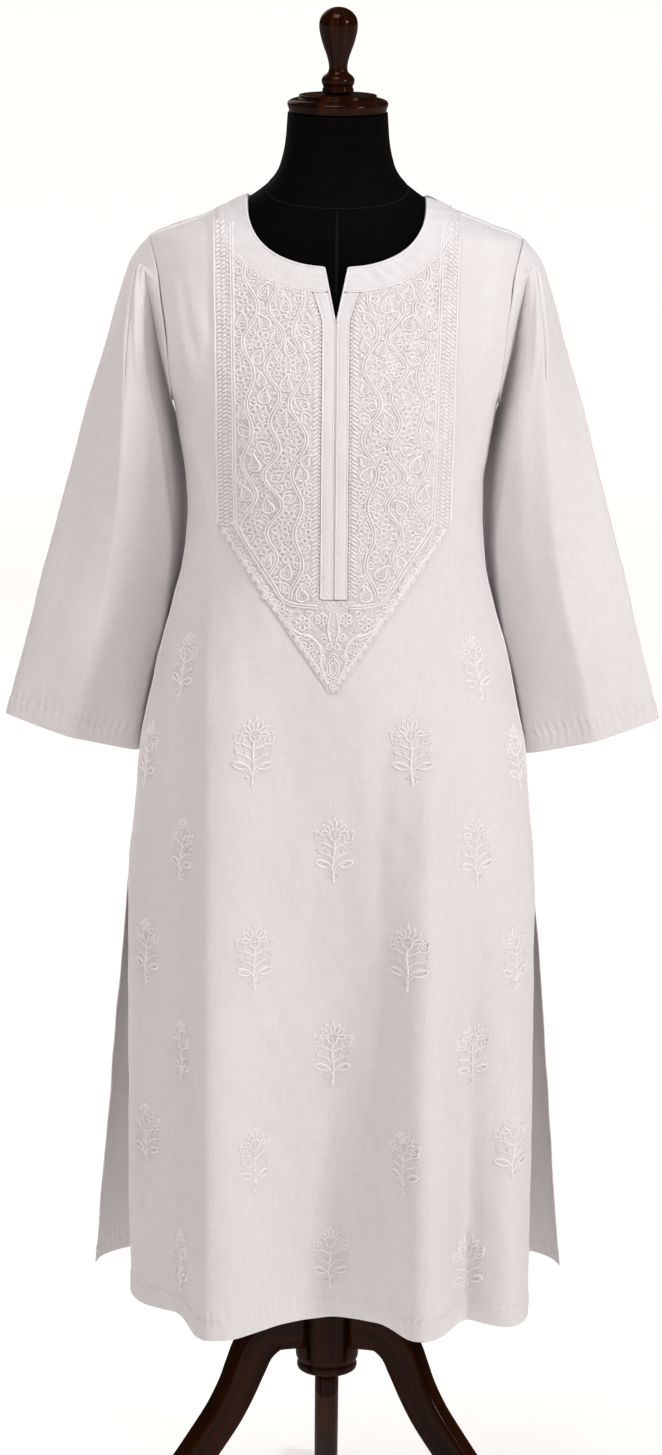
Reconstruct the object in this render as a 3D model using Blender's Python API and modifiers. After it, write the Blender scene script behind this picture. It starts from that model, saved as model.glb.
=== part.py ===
"""A white embroidered kurta tunic on the limbless dress form that it hangs on.

Metres, +Z up. The wearer faces -Y, so -Y is the front and +X is the wearer's left,
which is the right side of a picture taken from the front. The stand's three feet rest
on z = 0, and the origin is under the middle of the whole object's box.

Every cloth piece is an open sheet of points with a Solidify wall. The kurta's body is a
stack of level sections: a row of KURTA_LEVELS gives the half width, front depth and back
depth at one height. A point on it is named by its turn (0 at centre front or centre back,
90 degrees at the side or the shoulder seam) and its height.
"""
import math

import bmesh
import bpy
import numpy as np

# Cloth and its seams
CLOTH_WALL = 0.0015
TRIM_WALL = 0.0010
SEAM_GAP = 0.0009
TRIM_GAP = 0.0009
SQUARENESS = 2.2
SHOULDER_EASE = 1.8
SLOPE_STEP = 0.0001
EDGE_TURN = 0.02

# Columns of faces in half of a piece, and rows along its inner edge
FRONT_COLUMNS = 13
BACK_COLUMNS = 10
YOKE_COLUMNS = 9
BAND_COLUMNS = 2
NECK_ROWS = 11
CHEST_ROWS = 17
SKIRT_ROWS = 11
BACK_NECK_ROWS = 10
BACK_CHEST_ROWS = 14
BACK_SKIRT_ROWS = 8
BAND_ROWS = 15
BACK_BAND_ROWS = 12
STRIP_ROWS = 14
YOKE_NECK_ROWS = 10
YOKE_STRIP_ROWS = 11
YOKE_CORNER_ROWS = 3
YOKE_POINT_ROWS = 6

# Heights along the kurta
NECK_POINT_Z = 1.4145
SHOULDER_TIP_Z = 1.3750
UNDERARM_Z = 1.2150
SLIT_TOP_Z = 0.7270
HEM_Z = 0.3000
LEVEL_ROWS_Z = 1.2000

# Neckline, its notch, and the band, placket and yoke that lie round it
NECK_HALF = 0.0870
NECK_DROP = 0.0590
BACK_NECK_DROP = 0.0180
NECK_SQUARENESS = 2.3
NOTCH_HALF = 0.0110
NOTCH_TIP_Z = 1.3050
BAND_HALF = 0.1140
BAND_DROP = 0.0820
BACK_BAND_DROP = 0.0430
STRIP_WIDTH = 0.0126
STRIP_TOP_HALF = 0.0215
STRIP_END_Z = 1.0380
YOKE_CORNER_Z = 1.1000
YOKE_TIP_Z = 0.9460

# Body sections: height, half width, front depth, back depth
KURTA_LEVELS = (
    (0.300, 0.2000, 0.1250, 0.1700),
    (0.500, 0.2020, 0.1310, 0.1560),
    (0.727, 0.2035, 0.1360, 0.1400),
    (0.809, 0.1965, 0.1360, 0.1340),
    (0.865, 0.1920, 0.1350, 0.1300),
    (0.911, 0.1835, 0.1340, 0.1260),
    (0.962, 0.1726, 0.1320, 0.1190),
    (1.007, 0.1600, 0.1300, 0.1110),
    (1.052, 0.1497, 0.1290, 0.1040),
    (1.106, 0.1453, 0.1300, 0.1000),
    (1.135, 0.1463, 0.1315, 0.1020),
    (1.174, 0.1523, 0.1320, 0.1080),
    (1.215, 0.1600, 0.1280, 0.1120),
    (1.245, 0.1730, 0.1200, 0.1130),
    (1.280, 0.1860, 0.1080, 0.1110),
    (1.320, 0.1910, 0.0940, 0.1050),
    (1.355, 0.1900, 0.0830, 0.0950),
    (1.375, 0.1826, 0.0770, 0.0850),
    (1.395, 0.1342, 0.0690, 0.0720),
    (1.4145, 0.0870, 0.0620, 0.0580),
)

# Back panel below the slits: height, half width, how far back its side edges hang
BACK_HANG = (
    (0.300, 0.2395, 0.0725),
    (0.480, 0.2247, 0.0480),
    (0.588, 0.2158, 0.0270),
    (0.727, 0.2035, 0.0000),
)

# Armhole seam: height, distance from the middle
ARMHOLE = (
    (1.215, 0.1600),
    (1.234, 0.1620),
    (1.266, 0.1645),
    (1.294, 0.1675),
    (1.318, 0.1710),
    (1.345, 0.1745),
    (1.375, 0.1826),
)

# Yoke's outer edge: height, distance from the middle
YOKE_EDGE = (
    (YOKE_TIP_Z, 0.0040),
    (YOKE_CORNER_Z, 0.1128),
    (1.4007, 0.1205),
)

# Folds: x where it starts, x at the hem, start height, depth at the hem,
# reach towards -X, reach towards +X
FRONT_FOLDS = (
    (-0.1180, -0.1165, 1.085, 0.066, 0.036, 0.080),
    (0.0000, 0.0050, 0.950, -0.026, 0.070, 0.060),
    (0.0900, 0.0943, 0.960, 0.060, 0.046, 0.050),
    (0.2000, 0.2000, 0.800, 0.079, 0.075, 0.060),
    (-0.2000, -0.2000, 0.800, 0.012, 0.060, 0.050),
)
BACK_FOLDS = (
    (-0.1150, -0.1350, 1.000, 0.040, 0.055, 0.060),
    (-0.0200, -0.0300, 0.980, -0.022, 0.060, 0.055),
    (0.0500, 0.0450, 0.960, 0.036, 0.050, 0.060),
    (0.1300, 0.1500, 1.000, 0.034, 0.055, 0.050),
)
FOLD_GROWTH = 1.1

# Sleeve rings from the armhole to the hem. Outer edge x and z, front fold x, y and z,
# inner back edge x, y and z, then the depths of the front and back layers
SLEEVE_RINGS = (
    (0.2005, 1.3520, 0.1870, -0.034, 1.3440, 0.1660, 0.012, 1.2050, 0.026, 0.040),
    (0.2139, 1.3126, 0.1885, -0.040, 1.3020, 0.1620, 0.030, 1.1880, 0.040, 0.054),
    (0.2250, 1.2728, 0.1860, -0.042, 1.2580, 0.1525, 0.052, 1.1650, 0.046, 0.060),
    (0.2470, 1.1960, 0.1715, -0.036, 1.1737, 0.1430, 0.064, 1.1280, 0.047, 0.064),
    (0.2700, 1.1070, 0.1625, -0.010, 1.0750, 0.1440, 0.068, 1.0620, 0.040, 0.070),
    (0.2885, 1.0370, 0.1700, 0.006, 1.0000, 0.1580, 0.066, 0.9880, 0.030, 0.070),
    (0.3085, 0.9600, 0.1870, 0.010, 0.9230, 0.1800, 0.060, 0.9160, 0.025, 0.064),
    (0.3253, 0.8940, 0.1990, 0.010, 0.8570, 0.1900, 0.055, 0.8540, 0.020, 0.057),
)
# Share of the armhole loop, and number of steps, from each named edge to the next:
# outer edge, front layer, front fold, inner back edge, back layer
LOOP_SHARES = (0.0, 0.07, 0.16, 0.52, 0.78, 1.0)
LOOP_STEPS = (2, 2, 8, 4, 4)
SLEEVE_ROWS = 14
SLEEVE_OUTER_Y = 0.0040
CORNER_PULL = 0.16

# Dress form: height, half width, front depth, back depth
FORM_LEVELS = (
    (0.770, 0.1400, 0.0980, 0.1080),
    (0.785, 0.1600, 0.1120, 0.1200),
    (0.830, 0.1720, 0.1170, 0.1240),
    (0.880, 0.1720, 0.1180, 0.1230),
    (0.930, 0.1630, 0.1160, 0.1180),
    (0.985, 0.1480, 0.1110, 0.1080),
    (1.050, 0.1340, 0.1070, 0.0950),
    (1.106, 0.1290, 0.1080, 0.0890),
    (1.160, 0.1340, 0.1160, 0.0930),
    (1.205, 0.1410, 0.1200, 0.0990),
    (1.240, 0.1480, 0.1150, 0.1040),
    (1.280, 0.1560, 0.1040, 0.1040),
    (1.320, 0.1630, 0.0900, 0.0990),
    (1.345, 0.1660, 0.0815, 0.0920),
    (1.362, 0.1680, 0.0760, 0.0850),
    (1.374, 0.1650, 0.0715, 0.0790),
    (1.3845, 0.1543, 0.0690, 0.0735),
    (1.395, 0.1290, 0.0660, 0.0680),
    (1.405, 0.1046, 0.0625, 0.0615),
    (1.4130, 0.0830, 0.0590, 0.0565),
    (1.4200, 0.0710, 0.0570, 0.0540),
    (1.4290, 0.0616, 0.0550, 0.0530),
    (1.4450, 0.0548, 0.0525, 0.0520),
    (1.4700, 0.0510, 0.0500, 0.0500),
    (1.4970, 0.0490, 0.0490, 0.0490),
)
FORM_STEPS = 28

# Turned wood, as radius and height pairs read from the top down
CAP_PROFILE = (
    (0.0000, 1.5150), (0.0375, 1.5150), (0.0382, 1.5135), (0.0382, 1.5115),
    (0.0440, 1.5105), (0.0485, 1.5085), (0.0497, 1.5055), (0.0485, 1.5020),
    (0.0478, 1.5000), (0.0478, 1.4973), (0.0000, 1.4973),
)
FINIAL_PROFILE = (
    (0.0000, 1.6000), (0.0068, 1.5992), (0.0137, 1.5952), (0.0180, 1.5895),
    (0.0192, 1.5820), (0.0182, 1.5740), (0.0152, 1.5630), (0.0121, 1.5550),
    (0.0096, 1.5470), (0.0088, 1.5395), (0.0104, 1.5355), (0.0150, 1.5325),
    (0.0165, 1.5285), (0.0155, 1.5245), (0.0140, 1.5225), (0.0154, 1.5205),
    (0.0154, 1.5153), (0.0000, 1.5153),
)
HUB_PROFILE = (
    (0.0000, 0.3150), (0.0180, 0.3150), (0.0215, 0.3080), (0.0250, 0.2980),
    (0.0310, 0.2930), (0.0320, 0.2350), (0.0320, 0.2260), (0.0290, 0.2225),
    (0.0310, 0.2190), (0.0300, 0.2130), (0.0230, 0.2093), (0.0000, 0.2093),
)
DROP_PROFILE = (
    (0.0000, 0.2090), (0.0116, 0.2090), (0.0118, 0.1860), (0.0095, 0.1815),
    (0.0055, 0.1800), (0.0000, 0.1800),
)
TURN_STEPS = 28

# Pole and legs
POLE_RADIUS = 0.0125
POLE_TOP_Z = 0.7697
POLE_FOOT_Z = 0.3153
LEG_THICKNESS = 0.0250
LEG_FLAT = 0.55
LEG_TURNS = {"leg_front_right": -60.0, "leg_front_left": 60.0, "leg_rear": 180.0}
# Leg's middle line: distance from the hub's axis, height, depth of the blade
LEG_LINE = (
    (0.0324, 0.2620, 0.0440),
    (0.0600, 0.2630, 0.0420),
    (0.0840, 0.2500, 0.0420),
    (0.0960, 0.2280, 0.0400),
    (0.1040, 0.2110, 0.0380),
    (0.1180, 0.1870, 0.0370),
    (0.1440, 0.1540, 0.0360),
    (0.1800, 0.1130, 0.0350),
    (0.2230, 0.0720, 0.0340),
    (0.2640, 0.0380, 0.0330),
    (0.2950, 0.0165, 0.0330),
    (0.3250, 0.0165, 0.0330),
)

# Colours and roughness
FINISHES = {
    "kurta_cotton": ((0.70, 0.65, 0.63), 0.85),
    "trim_cotton": ((0.76, 0.70, 0.69), 0.80),
    "form_cover": ((0.006, 0.006, 0.006), 0.80),
    "dark_wood": ((0.022, 0.008, 0.004), 0.28),
}


def curve(at, table, column):
    """Monotone cubic through one column of a table whose first column rises."""
    rows = np.asarray(table, float)
    xs, ys = rows[:, 0], rows[:, column]
    step = np.diff(xs)
    rise = np.diff(ys) / step
    slope = np.concatenate(([rise[0]], np.zeros(len(xs) - 2), [rise[-1]]))
    product = rise[:-1] * rise[1:]
    total = np.where(product > 0, rise[:-1] + rise[1:], 1.0)
    slope[1:-1] = np.where(product > 0, 2 * product / total, 0.0)
    at = np.clip(at, xs[0], xs[-1])
    k = np.clip(np.searchsorted(xs, at) - 1, 0, len(xs) - 2)
    t = (at - xs[k]) / step[k]
    return ((1 + 2 * t) * (1 - t) ** 2 * ys[k] + t * (1 - t) ** 2 * step[k] * slope[k]
            + t * t * (3 - 2 * t) * ys[k + 1] + t * t * (t - 1) * step[k] * slope[k + 1])


def roundness(turn):
    """Depth share of a section at a turn: 1 at centre front, 0 at the side."""
    share = np.clip(np.abs(np.sin(turn)), 0.0, 1.0)
    return (1 - share ** SQUARENESS) ** (1 / SQUARENESS)


def fold_depth(x, z, folds):
    """Sum of the folds: each grows from its start height to the hem, as a cosine bump."""
    depth = np.zeros(np.broadcast(x, z).shape)
    for start_x, hem_x, start_z, hem_depth, reach_low, reach_high in folds:
        grown = np.clip((start_z - z) / (start_z - HEM_Z), 0.0, 1.0)
        away = x - (start_x + (hem_x - start_x) * grown)
        away = away / np.where(away < 0, reach_low, reach_high)
        bump = np.cos(np.clip(away, -1, 1) * math.pi / 2) ** 2
        depth = depth + hem_depth * grown ** FOLD_GROWTH * bump
    return depth


def front_half(z):
    return curve(z, KURTA_LEVELS, 1)


def back_half(z):
    return np.where(z < SLIT_TOP_Z, curve(z, BACK_HANG, 1), front_half(z))


def front_points(turn, z):
    """Front of the kurta: turn runs from -90 degrees to 90 degrees."""
    x = front_half(z) * np.sin(turn)
    y = -SEAM_GAP / 2 - curve(z, KURTA_LEVELS, 2) * roundness(turn)
    return np.stack([x, y - fold_depth(x, z, FRONT_FOLDS), z + 0 * x], axis=-1)


def back_points(turn, z):
    """Back of the kurta, whose side edges hang further back below the slits."""
    x = back_half(z) * np.sin(turn)
    edge = SEAM_GAP / 2 + np.where(z < SLIT_TOP_Z, curve(z, BACK_HANG, 2), 0.0)
    y = edge + (curve(z, KURTA_LEVELS, 3) - edge) * roundness(turn)
    return np.stack([x, y + fold_depth(x, z, BACK_FOLDS), z + 0 * x], axis=-1)


def lifted(surface, turn, z, distance):
    """Points of a body surface moved out along its normal."""
    limit = math.pi / 2 - EDGE_TURN
    inside = np.clip(turn, -limit, limit)
    along = surface(inside + SLOPE_STEP, z) - surface(inside - SLOPE_STEP, z)
    up = surface(inside, z + SLOPE_STEP) - surface(inside, z - SLOPE_STEP)
    normal = np.cross(along, up)
    normal /= np.linalg.norm(normal, axis=-1, keepdims=True)
    if surface is back_points:
        normal = -normal
    return surface(turn, z) + distance * normal


def turn_at(x, z, half):
    """Turn of the point that lies x from the middle at height z."""
    return np.arcsin(np.clip(x / half(z), 0.0, 1.0))


def between(inner, outer, shares):
    """Rows of values from an inner edge to an outer edge, one column for each share."""
    return inner[:, None] + (outer - inner)[:, None] * shares[None, :]


def eased(start, end, count):
    """Values from start to end, closest together at the start, where shoulders round."""
    return start + (end - start) * np.linspace(0, 1, count) ** SHOULDER_EASE


def oval(half, drop, angle):
    """Neckline curve: half width and drop at an angle from the shoulder to the centre."""
    power = 2 / NECK_SQUARENESS
    return half * np.cos(angle) ** power, NECK_POINT_Z - drop * np.sin(angle) ** power


def oval_end(half, x):
    """Angle at which a neckline curve has come in to x from the middle."""
    return math.acos((x / half) ** (NECK_SQUARENESS / 2))


def shoulder_start(half, drop):
    """Angle at which a neckline curve leaves the shoulder seam."""
    angles = np.linspace(0, 0.5, 2001)
    x, z = oval(half, drop, angles)
    return float(angles[np.argmax(x <= front_half(z))])


def outer_edge(z):
    """Distance of a panel's side edge from the middle, as a share of its section."""
    seam = curve(z, ARMHOLE, 1) / front_half(z)
    return np.where(z > UNDERARM_Z, np.minimum(seam, 1.0), 1.0)


def sheet(name, rings, closed=False):
    """Mesh of a grid of points, open at its edges or closed round each row."""
    rows, columns = rings.shape[:2]
    index = np.arange(rows * columns).reshape(rows, columns)
    if closed:
        index = np.concatenate([index, index[:, :1]], axis=1)
    faces = np.stack([index[:-1, :-1], index[1:, :-1], index[1:, 1:], index[:-1, 1:]], axis=-1)
    mesh = bpy.data.meshes.new(name)
    mesh.from_pydata(rings.reshape(-1, 3).tolist(), [], faces.reshape(-1, 4).tolist())
    return mesh


def joined_halves(name, halves):
    """One mesh of two halves that meet along the middle."""
    both = bmesh.new()
    for half in halves:
        mesh = sheet(name, half)
        both.from_mesh(mesh)
        bpy.data.meshes.remove(mesh)
    bmesh.ops.remove_doubles(both, verts=both.verts, dist=1e-6)
    mesh = bpy.data.meshes.new(name)
    both.to_mesh(mesh)
    both.free()
    return mesh


def mirrored(grid):
    """The same grid on the other side, turned so that its faces still point out."""
    return (grid * np.array([-1.0, 1.0, 1.0]))[:, ::-1]


def place(mesh, finish, wall=0.0, side=-1.0):
    """Object in the kurta's collection, with its finish and, for cloth, its wall."""
    thing = bpy.data.objects.new(mesh.name, mesh)
    COLLECTION.objects.link(thing)
    mesh.materials.append(MATERIALS[finish])
    mesh.shade_smooth()
    if wall:
        solid = thing.modifiers.new("wall", "SOLIDIFY")
        solid.thickness = wall
        solid.offset = side
        solid.use_rim = True
    return thing


def make_material(name):
    colour, roughness = FINISHES[name]
    material = bpy.data.materials.new(name)
    material.use_nodes = True
    shader = material.node_tree.nodes["Principled BSDF"]
    shader.inputs["Base Color"].default_value = (*colour, 1.0)
    shader.inputs["Roughness"].default_value = roughness
    return material


def half_sheet(surface, side, turn_in, turn_out, z_in, z_out, columns, lift=0.0):
    """Half of a piece, from its inner edge to its outer edge, on one side (+1 or -1)."""
    shares = np.linspace(0, 1, columns + 1)
    turns = side * between(turn_in, turn_out, shares)
    heights = between(z_in, z_out, shares)
    grid = lifted(surface, turns, heights, lift) if lift else surface(turns, heights)
    facing = side if surface is front_points else -side
    return grid if facing > 0 else grid[:, ::-1]


def side_heights(z_in, level_row, top_z):
    """Outer edge's heights: from its top on the shoulder until its rows lie level."""
    z_out = z_in.copy()
    z_out[:level_row + 1] = eased(top_z, z_in[level_row], level_row + 1)
    return z_out


def body_panel(name, surface, half, x_in, z_in, columns):
    """Front or back of the kurta: two halves from the neckline and middle to the side."""
    z_out = side_heights(z_in, int(np.argmax(z_in < LEVEL_ROWS_Z)), SHOULDER_TIP_Z)
    turn_in = turn_at(x_in, z_in, half)
    turn_in[0] = math.pi / 2
    turn_out = np.arcsin(outer_edge(z_out))
    halves = [half_sheet(surface, side, turn_in, turn_out, z_in, z_out, columns)
              for side in (1, -1)]
    return place(joined_halves(name, halves), "kurta_cotton", CLOTH_WALL)


def front_panel():
    angles = eased(0, oval_end(NECK_HALF, NOTCH_HALF), NECK_ROWS)
    neck_x, neck_z = oval(NECK_HALF, NECK_DROP, angles)
    notch_x = np.array([NOTCH_HALF / 2, 0.0])
    notch_z = np.array([(neck_z[-1] + NOTCH_TIP_Z) / 2, NOTCH_TIP_Z])
    chest_z = np.linspace(NOTCH_TIP_Z, YOKE_TIP_Z, CHEST_ROWS + 1)[1:]
    skirt_z = np.linspace(YOKE_TIP_Z, HEM_Z, SKIRT_ROWS + 1)[1:]
    z_in = np.concatenate([neck_z, notch_z, chest_z, skirt_z])
    x_in = np.concatenate([neck_x, notch_x, 0 * chest_z, 0 * skirt_z])
    body_panel("front_panel", front_points, front_half, x_in, z_in, FRONT_COLUMNS)


def back_panel():
    angles = eased(0, math.pi / 2, BACK_NECK_ROWS)
    neck_x, neck_z = oval(NECK_HALF, BACK_NECK_DROP, angles)
    neck_x[-1] = 0.0
    body_z = np.linspace(neck_z[-1], YOKE_TIP_Z, BACK_CHEST_ROWS + 1)[1:]
    skirt_z = np.linspace(YOKE_TIP_Z, HEM_Z, BACK_SKIRT_ROWS + 1)[1:]
    z_in = np.concatenate([neck_z, body_z, skirt_z])
    x_in = np.concatenate([neck_x, 0 * body_z, 0 * skirt_z])
    body_panel("back_panel", back_points, back_half, x_in, z_in, BACK_COLUMNS)


def notch_half(z):
    """Half width of the neck notch at a height."""
    top = NECK_POINT_Z - NECK_DROP
    return NOTCH_HALF * np.clip((z - NOTCH_TIP_Z) / (top - NOTCH_TIP_Z), 0, 1)


def band_edges(steps):
    """Front neck band from the shoulder to the notch: inner and outer edges."""
    inner = oval(NECK_HALF, NECK_DROP, eased(0, oval_end(NECK_HALF, NOTCH_HALF), steps))
    end_x = float(notch_half(NECK_POINT_Z - BAND_DROP))
    start = shoulder_start(BAND_HALF, BAND_DROP)
    outer = oval(BAND_HALF, BAND_DROP, eased(start, oval_end(BAND_HALF, end_x), steps))
    return inner, outer


def neck_bands():
    """Two front bands and a back band, flat on the panels along the neckline."""
    (in_x, in_z), (out_x, out_z) = band_edges(BAND_ROWS)
    turn_in = turn_at(in_x, in_z, front_half)
    turn_out = turn_at(out_x, out_z, front_half)
    turn_in[0] = turn_out[0] = math.pi / 2
    for name, side in (("neck_band_left", 1), ("neck_band_right", -1)):
        grid = half_sheet(front_points, side, turn_in, turn_out, in_z, out_z,
                          BAND_COLUMNS, TRIM_GAP)
        place(sheet(name, grid), "trim_cotton", TRIM_WALL, 1.0)
    angles = eased(0, math.pi / 2, BACK_BAND_ROWS)
    in_x, in_z = oval(NECK_HALF, BACK_NECK_DROP, angles)
    start = shoulder_start(BAND_HALF, BACK_BAND_DROP)
    out_x, out_z = oval(BAND_HALF, BACK_BAND_DROP, eased(start, math.pi / 2, BACK_BAND_ROWS))
    turn_in = turn_at(in_x, in_z, back_half)
    turn_out = turn_at(out_x, out_z, back_half)
    turn_in[0] = turn_out[0] = math.pi / 2
    turn_in[-1] = turn_out[-1] = 0.0
    halves = [half_sheet(back_points, side, turn_in, turn_out, in_z, out_z,
                         BAND_COLUMNS, TRIM_GAP)
              for side in (1, -1)]
    place(joined_halves("neck_band_back", halves), "trim_cotton", TRIM_WALL, 1.0)


def strip_outer(z):
    """Outer edge of a placket strip: it leans out beside the notch."""
    top = NECK_POINT_Z - BAND_DROP
    lean = np.clip((z - NOTCH_TIP_Z) / (top - NOTCH_TIP_Z), 0, 1)
    return STRIP_WIDTH + (STRIP_TOP_HALF - STRIP_WIDTH) * lean


def placket_strips():
    """Two strips from the band down both sides of the notch and the middle."""
    top = NECK_POINT_Z - BAND_DROP - SEAM_GAP
    z = np.concatenate([[top, (top + NOTCH_TIP_Z) / 2],
                        np.linspace(NOTCH_TIP_Z, STRIP_END_Z, STRIP_ROWS)])
    inner = turn_at(notch_half(z) + SEAM_GAP / 2, z, front_half)
    outer = turn_at(strip_outer(z), z, front_half)
    for name, side in (("placket_left", 1), ("placket_right", -1)):
        grid = half_sheet(front_points, side, inner, outer, z, z, 1, TRIM_GAP)
        place(sheet(name, grid), "trim_cotton", TRIM_WALL, 1.0)


def yoke():
    """Embroidered bib: it starts at the shoulders, goes round the band and the placket,
    and ends in a point."""
    start = shoulder_start(BAND_HALF + SEAM_GAP, BAND_DROP + SEAM_GAP)
    top_half = float(strip_outer(NECK_POINT_Z - BAND_DROP)) + SEAM_GAP
    band_x, band_z = oval(BAND_HALF + SEAM_GAP, BAND_DROP + SEAM_GAP,
                          eased(start, oval_end(BAND_HALF + SEAM_GAP, top_half), YOKE_NECK_ROWS))
    strip_z = np.concatenate([np.linspace(NOTCH_TIP_Z, YOKE_CORNER_Z, YOKE_STRIP_ROWS),
                              np.linspace(YOKE_CORNER_Z, STRIP_END_Z - SEAM_GAP,
                                          YOKE_CORNER_ROWS + 1)[1:]])
    point_z = np.linspace(STRIP_END_Z - 3 * SEAM_GAP, YOKE_TIP_Z, YOKE_POINT_ROWS)
    z_in = np.concatenate([band_z, strip_z, point_z])
    x_in = np.concatenate([band_x, strip_outer(strip_z) + SEAM_GAP, 0 * point_z])
    z_out = side_heights(z_in, int(np.argmax(z_in < LEVEL_ROWS_Z)), YOKE_EDGE[-1][0])
    edge = np.array(YOKE_EDGE)
    turn_in = turn_at(x_in, z_in, front_half)
    turn_out = turn_at(np.interp(z_out, edge[:, 0], edge[:, 1]), z_out, front_half)
    turn_in[0] = turn_out[0] = math.pi / 2
    halves = [half_sheet(front_points, side, turn_in, turn_out, z_in, z_out,
                         YOKE_COLUMNS, TRIM_GAP)
              for side in (1, -1)]
    place(joined_halves("yoke", halves), "trim_cotton", TRIM_WALL, 1.0)


def loop_point(share):
    """Point of the armhole seam: 0 at the shoulder tip, front first, 0.5 underarm."""
    height = SHOULDER_TIP_Z + (UNDERARM_Z - SHOULDER_TIP_Z) * (1 - abs(1 - 2 * share))
    turn = math.asin(float(outer_edge(np.array(height))))
    surface = front_points if share < 0.5 else back_points
    return surface(np.array(turn), np.array(height)) + np.array([SEAM_GAP, 0.0, 0.0])


def sleeve_ring(row):
    """The five named edges of one row of SLEEVE_RINGS, in order round the sleeve."""
    out_x, out_z, fold_x, fold_y, fold_z, in_x, in_y, in_z, front, back = row
    return np.array([
        (out_x, SLEEVE_OUTER_Y, out_z),
        ((out_x + fold_x) / 2, -front, (out_z + fold_z) / 2),
        (fold_x, fold_y, fold_z),
        (in_x, in_y, in_z),
        ((out_x + in_x) / 2, back, (out_z + in_z) / 2),
    ])


def round_curve(points, steps):
    """Closed curve through points, nearly straight between its rounded corners."""
    ahead = np.roll(points, -1, axis=0)
    pull = CORNER_PULL * (ahead - np.roll(points, 1, axis=0))
    spans = []
    for start, end, leave, arrive, count in zip(points, ahead, pull, np.roll(pull, -1, axis=0),
                                                steps):
        t = (np.arange(count) / count)[:, None]
        spans.append((1 + 2 * t) * (1 - t) ** 2 * start + t * (1 - t) ** 2 * leave
                     + t * t * (3 - 2 * t) * end + t * t * (t - 1) * arrive)
    return np.concatenate(spans)


def sleeve(name, side):
    """Bell sleeve: a tube from the armhole seam, flattened and folded at its front."""
    shares = np.concatenate([LOOP_SHARES[k] + (LOOP_SHARES[k + 1] - LOOP_SHARES[k])
                             * np.arange(LOOP_STEPS[k]) / LOOP_STEPS[k]
                             for k in range(len(LOOP_STEPS))])
    rings = [np.array([loop_point(share) for share in shares])]
    rings += [round_curve(sleeve_ring(row), LOOP_STEPS) for row in SLEEVE_RINGS]
    rings = np.array(rings)
    at = np.linspace(0, len(rings) - 1, SLEEVE_ROWS + 1)
    flat = rings.reshape(len(rings), -1)
    rows = np.array([[curve(at, np.stack([np.arange(len(rings)), flat[:, k]], axis=1), 1)]
                     for k in range(flat.shape[1])])
    tube = rows[:, 0, :].T.reshape(len(at), -1, 3)
    if side < 0:
        tube = mirrored(tube)
    place(sheet(name, tube, closed=True), "kurta_cotton", CLOTH_WALL)


def form_body():
    """Solid torso and neck of the dress form, a loft of level sections."""
    angles = np.arange(FORM_STEPS) * 2 * math.pi / FORM_STEPS
    rings = []
    for z, half, front, back in FORM_LEVELS:
        depth = np.where(np.cos(angles) > 0, front, back)
        share = np.abs(np.cos(angles)) ** (2 / SQUARENESS)
        width = np.abs(np.sin(angles)) ** (2 / SQUARENESS)
        x = half * np.sign(np.sin(angles)) * width
        y = -depth * np.sign(np.cos(angles)) * share
        rings.append(np.stack([x, y, np.full(FORM_STEPS, z)], axis=-1))
    place(capped(sheet("form_body", np.array(rings)[::-1], closed=True)), "form_cover")


def capped(mesh):
    """The same mesh with its open ends filled."""
    ends = bmesh.new()
    ends.from_mesh(mesh)
    bmesh.ops.holes_fill(ends, edges=[e for e in ends.edges if e.is_boundary], sides=0)
    bmesh.ops.recalc_face_normals(ends, faces=ends.faces)
    ends.to_mesh(mesh)
    ends.free()
    return mesh


def turned(name, profile, finish):
    """Turned piece: a profile on +X, read from the top down, with a Screw modifier."""
    mesh = bpy.data.meshes.new(name)
    points = [(radius, 0.0, z) for radius, z in profile]
    mesh.from_pydata(points, [(k, k + 1) for k in range(len(points) - 1)], [])
    piece = place(mesh, finish)
    screw = piece.modifiers.new("turn", "SCREW")
    screw.steps = screw.render_steps = TURN_STEPS
    screw.use_merge_vertices = True
    screw.merge_threshold = 0.0001
    return piece


def pole():
    bpy.ops.mesh.primitive_cylinder_add(vertices=TURN_STEPS, radius=POLE_RADIUS,
                                        depth=POLE_TOP_Z - POLE_FOOT_Z,
                                        location=(0, 0, (POLE_TOP_Z + POLE_FOOT_Z) / 2))
    piece = bpy.context.object
    piece.name = piece.data.name = "pole"
    for collection in list(piece.users_collection):
        collection.objects.unlink(piece)
    COLLECTION.objects.link(piece)
    piece.data.materials.append(MATERIALS["dark_wood"])


def leg(name, turn):
    """Curved leg: a rounded blade along LEG_LINE, turned to its place round the hub."""
    line = np.array(LEG_LINE)
    along = np.gradient(line[:, :2], axis=0)
    along /= np.linalg.norm(along, axis=1, keepdims=True)
    across = np.stack([-along[:, 1], along[:, 0]], axis=1)
    across[0] = (0.0, 1.0)
    across[-2:] = (0.0, 1.0)
    edge = LEG_FLAT
    corners = ((1, edge), (edge, 1), (-edge, 1), (-1, edge),
               (-1, -edge), (-edge, -1), (edge, -1), (1, -edge))
    rings = []
    for (reach, z, depth), (out, up) in zip(line, across):
        ring = [(reach + out * depth / 2 * v, LEG_THICKNESS / 2 * u, z + up * depth / 2 * v)
                for u, v in corners]
        rings.append(ring)
    mesh = capped(sheet(name, np.array(rings), closed=True))
    piece = place(mesh, "dark_wood")
    piece.rotation_euler = (0, 0, math.radians(turn - 90))


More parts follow.
